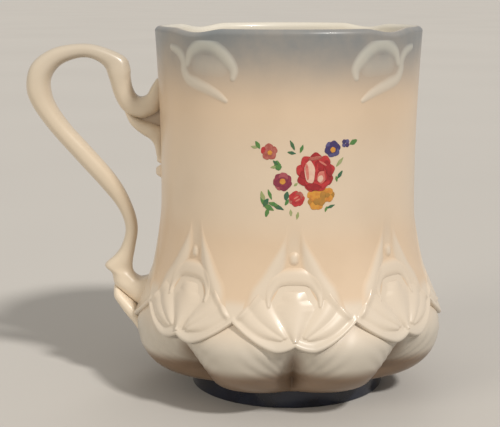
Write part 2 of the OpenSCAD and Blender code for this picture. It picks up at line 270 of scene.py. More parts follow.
    def outside(self, th: float, z: float) -> float:
        """Radius of the finished outside, with sunk fields and a raised band along the edge.

        Args:
            th: Bearing in radians.
            z: Height in millimetres.

        Returns:
            The radius in millimetres.
        """
        r = self.wall_r(z)
        if z > self.rib_top_h:
            return r
        inside = math.radians(self.rib_angle(z) - abs(self.turned(th))) * r
        over = z - self.edge_h(th)
        sunk = (smooth((inside + self.field_lap) / self.field_soft)
                * smooth((self.rib_top_h - z) / self.field_fade_h)
                * smooth((over - self.field_gap) / self.field_rise_h))
        band = hill((over - self.band_h) / self.band_fade_h) if over > self.band_h else 1.0
        return r - self.field_depth * sunk + self.band_relief * band

    def pale_share(self, th: float, z: float) -> float:
        """Share of paler glaze on the plain wall, in the fields and along the drapery's edge.

        Args:
            th: Bearing in radians.
            z: Height in millimetres.

        Returns:
            The share, from 0 to 1.
        """
        if z > self.rib_top_h:
            return 0.0
        inside = math.radians(self.rib_angle(z) - abs(self.turned(th))) * self.wall_r(z)
        field = (smooth((inside + self.pale_lap) / self.pale_soft)
                 * smooth((self.pale_field_h - z) / self.pale_field_fade_h))
        return max(field, smooth((self.pale_edge_h - z) / self.pale_edge_fade_h))

    def on_wall(self, th0: float, side: float, z: float, lift: float) -> Vector:
        """Point on the wall.

        Args:
            th0: Bearing in radians that side is measured from.
            side: Distance along the wall in millimetres.
            z: Height in millimetres.
            lift: Height over the finished wall in millimetres.

        Returns:
            The point in metres.
        """
        th = th0 + side / self.wall_r(z)
        r = self.outside(th, z) + lift
        return Vector((r * math.cos(th), r * math.sin(th), z)) * MM


FORM = BowlForm()
PAINTED_SIDE = -math.pi / 2
MERGE_GAP = 2e-7
FLAT_GAP = 1e-7
NOISE_LOW, NOISE_HIGH = 0.3, 0.7
GLOSSIER, DULLER = 0.04, 0.05


def polar(r: float, th: float, z: float) -> Vector:
    """Point in metres from a radius and height in millimetres and a bearing."""
    return Vector((r * math.cos(th), r * math.sin(th), z)) * MM


def spun_sheet(rows: int, steps: int) -> bmesh.types.BMesh:
    """Spin an upright line into a plain cylinder, whose z counts the rows.

    Args:
        rows: Number of points in the line.
        steps: Number of columns round the axis.

    Returns:
        The open sheet.
    """
    bm = bmesh.new()
    line = [bm.verts.new((1, 0, row)) for row in range(rows)]
    edges = [bm.edges.new(pair) for pair in zip(line, line[1:])]
    bmesh.ops.spin(bm, geom=line + edges, cent=(0, 0, 0), axis=(0, 0, 1), dvec=(0, 0, 0),
                   angle=TURN, steps=steps, use_merge=True)
    return bm


def settle(bm: bmesh.types.BMesh) -> bmesh.types.BMesh:
    """Close poles and seams, and turn the faces outwards.

    Args:
        bm: Mesh to finish in place.

    Returns:
        The same mesh.
    """
    bmesh.ops.remove_doubles(bm, verts=bm.verts, dist=MERGE_GAP)
    bmesh.ops.dissolve_degenerate(bm, edges=bm.edges, dist=FLAT_GAP)
    bmesh.ops.recalc_face_normals(bm, faces=bm.faces)
    return bm


def place_rows(bm: bmesh.types.BMesh, place: Place) -> bmesh.types.BMesh:
    """Move a spun sheet's vertices to their places.

    Args:
        bm: The spun sheet.
        place: Gives the place for a bearing and a row.

    Returns:
        The same mesh, closed.
    """
    for v in bm.verts:
        v.co = place(math.atan2(v.co.y, v.co.x), v.co.z)
    return settle(bm)


def join(target: bmesh.types.BMesh, part: bmesh.types.BMesh, material: int = 0) -> None:
    """Add a part to a mesh.

    Args:
        target: Mesh that takes the part.
        part: Mesh that is added and freed.
        material: Material index of the part's faces.
    """
    for face in part.faces:
        face.material_index = material
    mesh = bpy.data.meshes.new("part")
    part.to_mesh(mesh)
    part.free()
    target.from_mesh(mesh)
    bpy.data.meshes.remove(mesh)


def enter(name: str, bm: bmesh.types.BMesh, finishes: Sequence[bpy.types.Material], slot: Slot,
          nodes: Sequence[str], sharp: float | None = None) -> bpy.types.Object:
    """Put a finished mesh in the scene.

    Args:
        name: Name of the piece.
        bm: Its mesh, which is freed.
        finishes: Its materials in the order of the faces' indices.
        slot: Record slot of the piece; not used.
        nodes: CAD nodes that it stands for.
        sharp: Angle in degrees past which edges stay sharp, or None for a smooth piece.

    Returns:
        The piece.
    """
    mesh = bpy.data.meshes.new(name)
    bm.to_mesh(mesh)
    bm.free()
    mesh.shade_smooth()
    if sharp is not None:
        mesh.set_sharp_from_angle(angle=math.radians(sharp))
    for finish in finishes:
        mesh.materials.append(finish)
    piece = bpy.data.objects.new(name, mesh)
    bpy.context.scene.collection.objects.link(piece)
    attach(piece, "root")
    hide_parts(*nodes)
    LOG.info("%s: %d faces for %s", name, len(mesh.polygons), ", ".join(nodes))
    return piece


class NodeBoard:
    """Small helper that adds and links shader nodes."""

    def __init__(self, name: str) -> None:
        """Start a material with only a Principled shader and its output.

        Args:
            name: Name of the material.
        """
        self.material = bpy.data.materials.new(name)
        self.material.use_nodes = True
        self.tree = self.material.node_tree
        self.shader = self.tree.nodes["Principled BSDF"]
        self.coords = self.add("ShaderNodeTexCoord").outputs["Object"]

    def add(self, kind: str, **settings: object) -> bpy.types.Node:
        """Add one node.

        Args:
            kind: Type of the node.
            settings: Properties of the node and their values.

        Returns:
            The node.
        """
        node = self.tree.nodes.new(kind)
        for key, value in settings.items():
            setattr(node, key, value)
        return node

    def link(self, source: object, target: object) -> None:
        """Link an output to an input."""
        self.tree.links.new(source, target)

    def noise(self, scale: float, detail: float = 2.0, roughness: float = 0.5) -> object:
        """Noise factor on object coordinates.

        Args:
            scale: Scale of the noise.
            detail: Its detail.
            roughness: Its roughness.

        Returns:
            The factor's output.
        """
        node = self.add("ShaderNodeTexNoise")
        node.inputs["Scale"].default_value = scale
        node.inputs["Detail"].default_value = detail
        node.inputs["Roughness"].default_value = roughness
        self.link(self.coords, node.inputs["Vector"])
        return node.outputs["Fac"]

    def remap(self, value: object, low: float, high: float,
              to_low: float, to_high: float) -> object:
        """Soft, clamped change of range.

        Args:
            value: Output to change.
            low: Value that becomes to_low.
            high: Value that becomes to_high.
            to_low: Result at low.
            to_high: Result at high.

        Returns:
            The result's output.
        """
        node = self.add("ShaderNodeMapRange", interpolation_type="SMOOTHSTEP")
        self.link(value, node.inputs["Value"])
        for key, number in (("From Min", low), ("From Max", high),
                            ("To Min", to_low), ("To Max", to_high)):
            node.inputs[key].default_value = number
        return node.outputs["Result"]

    def attribute(self, name: str) -> object:
        """Factor read from a piece's own attribute, 0 where it has none."""
        return self.add("ShaderNodeAttribute", attribute_name=name).outputs["Fac"]

    def radius(self) -> object:
        """Distance from the cup's axis.

        Returns:
            The distance's output, in metres.
        """
        flat = self.add("ShaderNodeVectorMath", operation="MULTIPLY")
        flat.inputs[1].default_value = (1, 1, 0)
        self.link(self.coords, flat.inputs[0])
        length = self.add("ShaderNodeVectorMath", operation="LENGTH")
        self.link(flat.outputs["Vector"], length.inputs[0])
        return length.outputs["Value"]

    def times(self, a: object, b: object) -> object:
        """Product of two factors.

        Args:
            a: First output.
            b: Second output.

        Returns:
            The product's output.
        """
        node = self.add("ShaderNodeMath", operation="MULTIPLY")
        self.link(a, node.inputs[0])
        self.link(b, node.inputs[1])
        return node.outputs[0]

    def blend(self, factor: object, base: object, over: object) -> object:
        """Mix of two colours.

        Args:
            factor: Output that holds the share of the second colour.
            base: First colour, an output or a plain colour.
            over: Second colour, an output or a plain colour.

        Returns:
            The mixed colour's output.
        """
        node = self.add("ShaderNodeMix", data_type="RGBA")
        self.link(factor, node.inputs["Factor"])
        for key, value in (("A", base), ("B", over)):
            socket = [s for s in node.inputs if s.name == key and s.type == "RGBA"][0]
            if isinstance(value, tuple):
                socket.default_value = (*value, 1.0)
            else:
                self.link(value, socket)
        return [s for s in node.outputs if s.type == "RGBA"][0]

    def bump(self, height: object, strength: float, distance: float) -> None:
        """Bump the shader's surface.

        Args:
            height: Output that holds the height factor.
            strength: Strength of the bump.
            distance: Height in metres that a factor of 1 stands for.
        """
        node = self.add("ShaderNodeBump")
        node.inputs["Strength"].default_value = strength
        node.inputs["Distance"].default_value = distance
        self.link(height, node.inputs["Height"])
        self.link(node.outputs["Normal"], self.shader.inputs["Normal"])

    def gloss(self, roughness: float, grain: float, coat: float, coat_roughness: float) -> None:
        """Glossy surface.

        Args:
            roughness: Middle of its slightly uneven roughness.
            grain: Scale of that unevenness.
            coat: Weight of the clear coat.
            coat_roughness: Roughness of the clear coat.
        """
        uneven = self.remap(self.noise(grain), NOISE_LOW, NOISE_HIGH,
                            roughness - GLOSSIER, roughness + DULLER)
        self.link(uneven, self.shader.inputs["Roughness"])
        self.shader.inputs["Coat Weight"].default_value = coat
        self.shader.inputs["Coat Roughness"].default_value = coat_roughness


Colour = tuple[float, float, float]
Span = tuple[float, float]


@dataclass(frozen=True)
class PorcelainGlaze:
    """Glossy glaze over white porcelain, cream on the wall, paler on the relief and the petals.

    A soft airbrushed blue-grey band runs under the rim. It is thin on raised relief. A dark,
    warm brown is painted in as shade, with a warm painted reflection, in the notches, under the
    petals and in hollows. Each span is a range of heights in metres, or of distances from the axis
    for the skin, over which one glaze turns into the next.
    """

    name: str
    wall: Colour = (0.685, 0.530, 0.380)
    shade: Colour = (0.645, 0.495, 0.350)
    pale: Colour = (0.680, 0.590, 0.480)
    cool: Colour = (0.510, 0.465, 0.395)
    inside: Colour = (0.680, 0.640, 0.555)
    painted_shade_colour: Colour = (0.215, 0.138, 0.085)
    band: Colour = (0.185, 0.210, 0.228)
    thin: Colour = (0.500, 0.510, 0.460)
    drape_span: Span = (0.033, 0.026)
    petal_span: Span = (0.025, 0.018)
    skin_span: Span = (0.0341, 0.0356)
    band_span: Span = (0.0785, 0.0985)
    pale_strength: float = 0.85
    thin_strength: float = 0.75
    band_strength: float = 0.95
    petal_tint: float = 0.9
    raised_full: float = 0.8
    blotch_scale: float = 45.0
    cloud_scale: float = 70.0
    cloud_thin: float = 0.78
    roughness: float = 0.33
    sheen_scale: float = 160.0
    coat: float = 0.08
    coat_roughness: float = 0.06
    grain_scale: float = 420.0
    grain_strength: float = 0.05
    grain_depth: float = 0.00012

    def build(self) -> bpy.types.Material:
        """Make the material.

        Returns:
            The material, driven by object coordinates and by the attributes "raised" and "pooled";
            "pooled" holds the share of painted shade.
        """
        board = NodeBoard(self.name)
        split = board.add("ShaderNodeSeparateXYZ")
        board.link(board.coords, split.inputs[0])
        height = split.outputs["Z"]
        raised = board.attribute("raised")
        blotch = board.remap(board.noise(self.blotch_scale, 3), 0.35, NOISE_HIGH, 0, 1)
        colour = board.blend(blotch, self.wall, self.shade)
        drape = board.remap(height, *self.drape_span, 0, self.pale_strength)
        colour = board.blend(drape, colour, self.pale)
        relief = board.remap(raised, 0, self.raised_full, 0, self.pale_strength)
        colour = board.blend(relief, colour, self.pale)
        petals = board.remap(height, *self.petal_span, 0, self.petal_tint)
        colour = board.blend(petals, colour, self.cool)
        outside = board.remap(board.radius(), *self.skin_span, 0, 1)
        colour = board.blend(outside, self.inside, colour)
        mist = board.remap(height, *self.band_span, 0, self.band_strength)
        cloud = board.noise(self.cloud_scale, 4, 0.6)
        cloud = board.remap(cloud, 0.25, NOISE_HIGH, self.cloud_thin, 1)
        band = board.blend(board.remap(raised, 0, 1, 0, self.thin_strength), self.band, self.thin)
        colour = board.blend(board.times(board.times(mist, cloud), outside), colour, band)
        # Painted shade, warm brown like a painted reflection, in the notches, under the petals and
        # in hollows.
        colour = board.blend(board.attribute("painted_shade"), colour, self.painted_shade_colour)
        board.link(colour, board.shader.inputs["Base Color"])
        board.gloss(self.roughness, self.sheen_scale, self.coat, self.coat_roughness)
        grain = board.noise(self.grain_scale, 3, 0.55)
        board.bump(grain, self.grain_strength, self.grain_depth)
        return board.material


@dataclass(frozen=True)
class ColouredGlaze:
    """Glossy coloured glaze or enamel with soft variation of tone."""

    name: str
    colour: Colour
    deep: Colour
    roughness: float = 0.2
    tone_scale: float = 900.0
    coat: float = 0.4
    coat_roughness: float = 0.07
    sheen_scale: float = 300.0
    grain_scale: float = 600.0
    grain_strength: float = 0.1
    grain_depth: float = 0.0001

    def build(self) -> bpy.types.Material:
        """Make the material.

        Returns:
            The material, driven by object coordinates.
        """
        board = NodeBoard(self.name)
        tone = board.remap(board.noise(self.tone_scale, 3, 0.6), 0.35, 0.65, 0, 1)
        colour = board.blend(tone, self.colour, self.deep)
        board.link(colour, board.shader.inputs["Base Color"])
        board.gloss(self.roughness, self.sheen_scale, self.coat, self.coat_roughness)
        board.bump(board.noise(self.grain_scale), self.grain_strength, self.grain_depth)
        return board.material


@dataclass
class Palette:
    """The cup's finishes, each made once."""

    body: bpy.types.Material
    handle: bpy.types.Material
    foot: bpy.types.Material

    @classmethod
    def build(cls) -> "Palette":
        """Make the shared glazes.

        Returns:
            The palette.
        """
        body = PorcelainGlaze("cream_porcelain_glaze")
        handle = PorcelainGlaze(
            "tinted_handle_glaze", wall=(0.670, 0.570, 0.440), shade=(0.635, 0.535, 0.405),
            pale=(0.780, 0.670, 0.530), band_span=(0.074, 0.1), band_strength=0.27, petal_tint=0)
        foot = ColouredGlaze(
            "slate_blue_foot_glaze", (0.010, 0.011, 0.018), (0.017, 0.021, 0.036),
            roughness=0.14, tone_scale=120.0, coat=0.15)
        return cls(body.build(), handle.build(), foot.build())


@dataclass(frozen=True)
class Bowl:
    """The bowl: its wall with the drapery, and the petals that swell out under it.

    Lengths are in millimetres. The values for the notches and the petals' undersides say where
    shade is painted into the glaze.
    """

    columns: int = 640
    petal_columns: int = 880
    guard_seat_h: float = 93.8
    pocket_r: float = 33.2
    cavity_r: float = 32.4
    cavity_belly_r: float = 37.5
    cavity_belly_h: float = 23.0
    floor_h: float = 8.4
    joint_t: float = 1.5
    lip_roll: float = 0.75
    pocket_top_h: float = 97.4
    ledge_bevel: float = 0.15
    joint_gap: float = 0.05
    tuck_gap: float = 1.2
    crest_gap: float = 1.1
    painted_shade_under: float = 0.95
    painted_shade_under_h: float = 15.0
    painted_shade_under_fade_h: float = 3.8
    painted_shade_notch: float = 0.75
    painted_shade_notch_h: float = 21.5
    painted_shade_notch_fade_h: float = 5.0
    painted_shade_r: float = 34.0
    painted_shade_wide: float = 6.0
    painted_shade_narrow: float = 2.2
    painted_shade_low_h: float = 11.0
    painted_shade_rise_h: float = 9.0
    joint_step: float = 14.0
    roll_start: float = -100.0
    roll_step: float = 12.5
    row_crowding: float = 1.3
    relief_share: float = 0.395
    spray_share: float = 0.78
    relief_rows: int = 64
    spray_rows: int = 12
    rim_rows: int = 26
    lip_rows: int = 12
    inside_rows: int = 14
    floor_rows: int = 11
    petal_rows: int = 62

    def joint(self, turn: float) -> tuple[float, float]:
        """Place on the hidden joint between wall and petals.

        Args:
            turn: Angle in degrees, 0 at the edge and 90 at the axis.

        Returns:
            The radius and height in millimetres.
        """
        phi = math.radians(turn)
        return ((self.cavity_belly_r + self.joint_t) * math.cos(phi),
                mix(self.cavity_belly_h, self.floor_h - self.joint_t, math.sin(phi)))

    def cavity_wall(self, z: float) -> float:
        """Radius of the cup's inside, above the belly.

        Args:
            z: Height in millimetres.

        Returns:
            The radius in millimetres.
        """
        if z > FORM.waist_h:
            return self.cavity_r
        share = (FORM.waist_h - z) / (FORM.waist_h - self.cavity_belly_h)
        return mix(self.cavity_r, self.cavity_belly_r, smooth(share ** 2))

    def wall_rows(self) -> list[tuple[str, float]]:
        """Rows of the wall from the hidden joint over the outside and the lip to the floor.

        Returns:
            The stretch of the profile and the place within it, for each row.
        """
        rows = [("joint", 90 - self.joint_step * i) for i in range(6)]
        rows += [("roll", self.roll_start + self.roll_step * i) for i in range(9)]
        low, middle, high = self.relief_rows, self.spray_rows, self.rim_rows
        heights = [self.relief_share * (i / low) ** self.row_crowding for i in range(1, low + 1)]
        heights += [mix(self.relief_share, self.spray_share, i / middle)
                    for i in range(1, middle + 1)]
        heights += [mix(self.spray_share, 1, i / high) for i in range(1, high + 1)]
        rows += [("wall", h) for h in heights]
        rows += [("lip", 180 * i / self.lip_rows) for i in range(1, self.lip_rows + 1)]
        rows += [("pocket", mix(self.pocket_top_h, self.guard_seat_h + 0.3, i / 3))
                 for i in range(4)]
        rows += [("ledge", 0.0), ("ledge", 1.0)]
        rows += [("inside", mix(self.guard_seat_h - 0.4, self.cavity_belly_h, i / self.inside_rows))
                 for i in range(self.inside_rows + 1)]
        rows += [("floor", 90 * i / self.floor_rows) for i in range(1, self.floor_rows + 1)]
        return rows

    def wall_place(self, kind: str, value: float, th: float) -> Vector:
        """Place of one vertex of the wall.

        Args:
            kind: Which stretch of the profile the row lies on.
            value: Place within that stretch.
            th: Bearing of the vertex.

        Returns:
            The place in metres.
        """
        edge = FORM.edge_h(th)
        lip = FORM.lip_r
        up = FORM.rim_h(th) - lip
        if kind == "joint":
            r, z = self.joint(value)
            return polar(r, th, z)
        if kind == "roll":
            phi = math.radians(value)
            r = FORM.outside(th, edge + FORM.band_h) - self.lip_roll
            return polar(r + self.lip_roll * math.cos(phi), th,
                         edge + self.lip_roll * (1 + math.sin(phi)))
        if kind == "wall":
            z = mix(edge + FORM.band_h, up, value)
            return polar(FORM.outside(th, z), th, z)
        if kind == "lip":
            phi = math.radians(value)
            return polar(FORM.rim_r - lip + lip * math.cos(phi), th, up + lip * math.sin(phi))
        if kind == "pocket":
            return polar(self.pocket_r, th, value)
        if kind == "ledge":
            width = self.pocket_r - self.cavity_r - self.ledge_bevel
            return polar(self.pocket_r - self.ledge_bevel - width * value, th,
                         self.guard_seat_h + 0.05 - 0.1 * value)
        if kind == "inside":
            return polar(self.cavity_wall(value), th, value)
        phi = math.radians(value)
        return polar(self.cavity_belly_r * math.cos(phi), th,
                     mix(self.cavity_belly_h, self.floor_h, math.sin(phi)))

    def build_wall(self, glaze: bpy.types.Material) -> bpy.types.Object:
        """Spin and shape the wall with its drapery, lip, ledge and inside.

        Args:
            glaze: Its material.

        Returns:
            The piece.
        """
        rows = self.wall_rows()
        bm = place_rows(spun_sheet(len(rows), self.columns),
                        lambda th, row: self.wall_place(*rows[round(row)], th))
        raised = bm.verts.layers.float.new("raised")
        for v in bm.verts:
            v[raised] = FORM.pale_share(math.atan2(v.co.y, v.co.x), v.co.z / MM)
        return enter("bowl_wall", bm, [glaze], Slot.WHITE, ["cup_body"])

    def petal_place(self, kind: str, value: float, th: float) -> Vector:
        """Place of one vertex of the petals.

        Args:
            kind: Which stretch of the profile the row lies on.
            value: Place within that stretch.
            th: Bearing of the vertex.

        Returns:
            The place in metres.
        """
        if kind == "joint":
            r, z = self.joint(value)
            return polar(r, th, z - self.joint_gap)
        if kind == "tuck":
            z = FORM.edge_h(th) + self.tuck_gap
            return polar(FORM.petal_r(th, z) - value, th, z)
        if kind == "petal":
            z = mix(FORM.foot_h, FORM.edge_h(th) + self.crest_gap, value)
            return polar(FORM.petal_r(th, z), th, z)
        return polar(value, th, FORM.foot_h)

    def painted_shade_share(self, th: float, z: float) -> float:
        """Share of painted shade in the notches and under the petals.

        Args:
            th: Bearing in radians.
            z: Height in millimetres.

        Returns:
            The share, from 0 to 1.
        """
        under = self.painted_shade_under * smooth((self.painted_shade_under_h - z) / self.painted_shade_under_fade_h)
        side = math.radians(abs(FORM.turned(th))) * self.painted_shade_r
        rise = smooth((z - self.painted_shade_low_h) / self.painted_shade_rise_h)
        near = 1 - smooth(side / mix(self.painted_shade_wide, self.painted_shade_narrow, rise))
        fade = smooth((self.painted_shade_notch_h - z) / self.painted_shade_notch_fade_h)
        return max(under, self.painted_shade_notch * near * fade)

    def build_petals(self, glaze: bpy.types.Material) -> bpy.types.Object:
        """Spin and shape the petals with their notches and flutes.

        Args:
            glaze: Its material.

        Returns:
            The piece.
        """
        rows = [("joint", 90.0 - 15 * i) for i in range(5)]
        rows += [("tuck", 2.5), ("tuck", 0.6)]
        last = self.petal_rows
        rows += [("petal", 1 - (1 - math.cos(math.pi * i / (2 * last))) if i < last else 0.0)
                 for i in range(last + 1)]
        rows += [("base", 24.0), ("base", 15.0), ("base", 0.0)]
        bm = place_rows(spun_sheet(len(rows), self.petal_columns),
                        lambda th, row: self.petal_place(*rows[round(row)], th))
        # Painted shade: dark warm brown under the petals and deep in the notches, where shade
        # falls.
        painted_shade = bm.verts.layers.float.new("painted_shade")
        for v in bm.verts:
            v[painted_shade] = self.painted_shade_share(math.atan2(v.co.y, v.co.x), v.co.z / MM)
        return enter("petal_skirt", bm, [glaze], Slot.WHITE, ["cup_body"])


@dataclass(frozen=True)
class Foot:
    """Turned foot ring in dark glaze."""

    r: float = 27.0
    top_r: float = 27.9
    h: float = 5.2
    w: float = 4.2
    band_h: float = 1.5
    soft: float = 0.45
    steps: int = 256

    def build(self, glaze: bpy.types.Material) -> bpy.types.Object:
        """Spin the ring's outline and round its edges.

        Args:
            glaze: Its material.

        Returns:
            The piece.
        """
        outline = [(self.r - self.w, 0), (self.r, 0), (self.r, self.band_h),
                   (self.top_r, self.h), (self.r - self.w, self.h)]
        bm = bmesh.new()
        ring = [bm.verts.new((r * MM, 0, z * MM)) for r, z in outline]
        edges = [bm.edges.new((a, b)) for a, b in zip(ring, ring[1:] + ring[:1])]
        bmesh.ops.bevel(bm, geom=ring[:2] + ring[4:], offset=self.soft * MM, segments=4,
                        profile=0.5, affect="VERTICES", material=-1)
        bmesh.ops.spin(bm, geom=bm.verts[:] + bm.edges[:], cent=(0, 0, 0), axis=(0, 0, 1),
                       dvec=(0, 0, 0), angle=TURN, steps=self.steps, use_merge=True)
        settle(bm)
        return enter("foot_glazed", bm, [glaze], Slot.BLUE, ["foot_ring"], 40)


@dataclass(frozen=True)
class GuardShelf:
    """Shelf inside the rim that keeps the lip dry, with a sip opening at the wall."""

    seat_h: float = 93.88
    t: float = 2.6
    r: float = 33.08
    edge_y: float = 8.0
    lobe_r: float = 17.0
    lobe_x: float = 14.0
    sip_w: float = 28.0
    sip_d: float = 9.0
    pocket_r: float = 33.2
    soft: float = 0.7
    wall_steps: int = 24
    sip_steps: int = 14
    lobe_steps: int = 26

    def outline(self) -> list[tuple[float, float]]:
        """Closed outline of the shelf.

        Returns:
            Its points, anticlockwise from the cusp between the lobes.
        """
        lobe_y = self.edge_y + self.lobe_r
        chord = math.sqrt(self.pocket_r ** 2 - self.sip_w ** 2 / 4)
        rise = chord - (self.pocket_r - self.sip_d)
        sip_r = (self.sip_w ** 2 / 4 + rise * rise) / (2 * rise)
        sip_y = self.pocket_r - self.sip_d + sip_r
        meet = math.hypot(self.lobe_x, lobe_y)
        reach = math.acos((self.r ** 2 + meet ** 2 - self.lobe_r ** 2) / (2 * self.r * meet))
        start = math.atan2(lobe_y, self.lobe_x) - reach
        corner = (self.r * math.cos(start), self.r * math.sin(start))
        sip_c = (self.r ** 2 - sip_r ** 2 + sip_y ** 2) / (2 * sip_y)
        end = math.acos(min(1.0, sip_c / self.r))
        outer = [(self.r * math.cos(t), self.r * math.sin(t))
                 for t in (mix(start, math.pi / 2 - end, i / self.wall_steps)
                           for i in range(self.wall_steps + 1))]
        sip_a = math.atan2(outer[-1][1] - sip_y, outer[-1][0])
        sip = [(sip_r * math.cos(t), sip_y + sip_r * math.sin(t))
               for t in (mix(sip_a, -math.pi / 2, i / self.sip_steps)
                         for i in range(1, self.sip_steps + 1))]
        half = outer + sip
        far = math.atan2(corner[1] - lobe_y, corner[0] - self.lobe_x)
        cusp = -math.pi + math.acos(self.lobe_x / self.lobe_r)
        lobe = [(self.lobe_x + self.lobe_r * math.cos(t), lobe_y + self.lobe_r * math.sin(t))
                for t in (mix(cusp, far, i / self.lobe_steps)
                          for i in range(self.lobe_steps + 1))]
        right = lobe + half[1:]
        left = [(-x, y) for x, y in reversed(right)]
        return right + left[1:-1]

    def build(self, glaze: bpy.types.Material) -> bpy.types.Object:
        """Extrude the outline and round its edges.

        Args:
            glaze: Its material.

        Returns:
            The piece.
        """
        bm = bmesh.new()
        ring = [bm.verts.new((x * MM, y * MM, self.seat_h * MM)) for x, y in self.outline()]
        face = bm.faces.new(ring)
        grown = bmesh.ops.extrude_face_region(bm, geom=[face])["geom"]
        top = [v for v in grown if isinstance(v, bmesh.types.BMVert)]
        bmesh.ops.translate(bm, verts=top, vec=(0, 0, self.t * MM))
        rims = [e for e in bm.edges
                if e.is_manifold and abs(e.verts[0].co.z - e.verts[1].co.z) < 1e-6]
        bmesh.ops.bevel(bm, geom=rims, offset=self.soft * MM, segments=4, profile=0.5,
                        affect="EDGES", material=-1)
        settle(bm)
        return enter("guard_shelf", bm, [glaze], Slot.WHITE, ["mustache_guard"], 50)


HANDLE_SHARES = (
    (0.012, 0.870, -0.070, 0.862, 0.25), (0.052, 0.842, -0.050, 0.805, 0.62),
    (0.085, 0.814, 0.000, 0.752, 0.80), (0.112, 0.805, 0.062, 0.730, 0.84),
    (0.140, 0.803, 0.135, 0.719, 0.84), (0.166, 0.809, 0.207, 0.727, 0.84),
    (0.186, 0.824, 0.262, 0.745, 0.84), (0.200, 0.847, 0.302, 0.770, 0.84),
    (0.206, 0.878, 0.338, 0.812, 0.84), (0.206, 0.911, 0.368, 0.872, 0.82),
    (0.245, 0.953, 0.399, 0.916, 0.70), (0.423, 0.992, 0.483, 0.944, 0.65),
    (0.584, 1.000, 0.585, 0.947, 0.65), (0.780, 0.981, 0.715, 0.923, 0.80),
    (0.934, 0.927, 0.795, 0.878, 0.95), (0.987, 0.848, 0.808, 0.829, 1.00),
    (0.956, 0.775, 0.776, 0.771, 1.00), (0.836, 0.680, 0.682, 0.697, 0.95),
    (0.642, 0.564, 0.521, 0.604, 0.85), (0.456, 0.458, 0.352, 0.503, 0.75),
    (0.329, 0.377, 0.250, 0.416, 0.65), (0.263, 0.299, 0.175, 0.313, 0.60),
    (0.270, 0.230, 0.162, 0.222, 0.62), (0.301, 0.192, 0.150, 0.170, 0.70),
    (0.352, 0.154, 0.126, 0.137, 0.72), (0.277, 0.123, 0.083, 0.115, 0.82),
    (0.215, 0.078, 0.024, 0.103, 0.92), (0.090, 0.033, -0.022, 0.111, 1.00),
    (-0.008, 0.000, -0.050, 0.118, 1.05), (-0.060, -0.010, -0.090, 0.110, 0.95))

ROOT_SHARES = (
    (0.262, 0.752, 0.262, 0.742, 0.15), (0.226, 0.742, 0.230, 0.704, 0.60),
    (0.180, 0.728, 0.185, 0.678, 0.80), (0.105, 0.711, 0.130, 0.657, 0.88),
    (0.040, 0.700, 0.078, 0.640, 0.90), (-0.030, 0.680, 0.052, 0.620, 0.80),
    (-0.040, 0.640, 0.042, 0.600, 0.60), (-0.040, 0.600, 0.032, 0.575, 0.38),
    (-0.050, 0.560, -0.010, 0.545, 0.15))

WEB_SHARES = (
    (0.250, 0.755, 0.245, 0.735, 0.15), (0.200, 0.765, 0.190, 0.715, 0.30),
    (0.110, 0.760, 0.110, 0.690, 0.36), (0.030, 0.765, 0.030, 0.680, 0.40),
    (-0.040, 0.775, -0.040, 0.680, 0.40))

HEEL_SHARES = (
    (0.218, 0.072, 0.208, 0.076, 0.20), (0.184, 0.031, 0.166, 0.066, 0.90),
    (0.115, -0.005, 0.096, 0.043, 1.20), (0.050, -0.041, 0.018, 0.018, 1.42),
    (0.002, -0.069, -0.060, -0.018, 1.50), (-0.050, -0.111, -0.125, -0.062, 1.35),
    (-0.107, -0.155, -0.170, -0.130, 0.75))


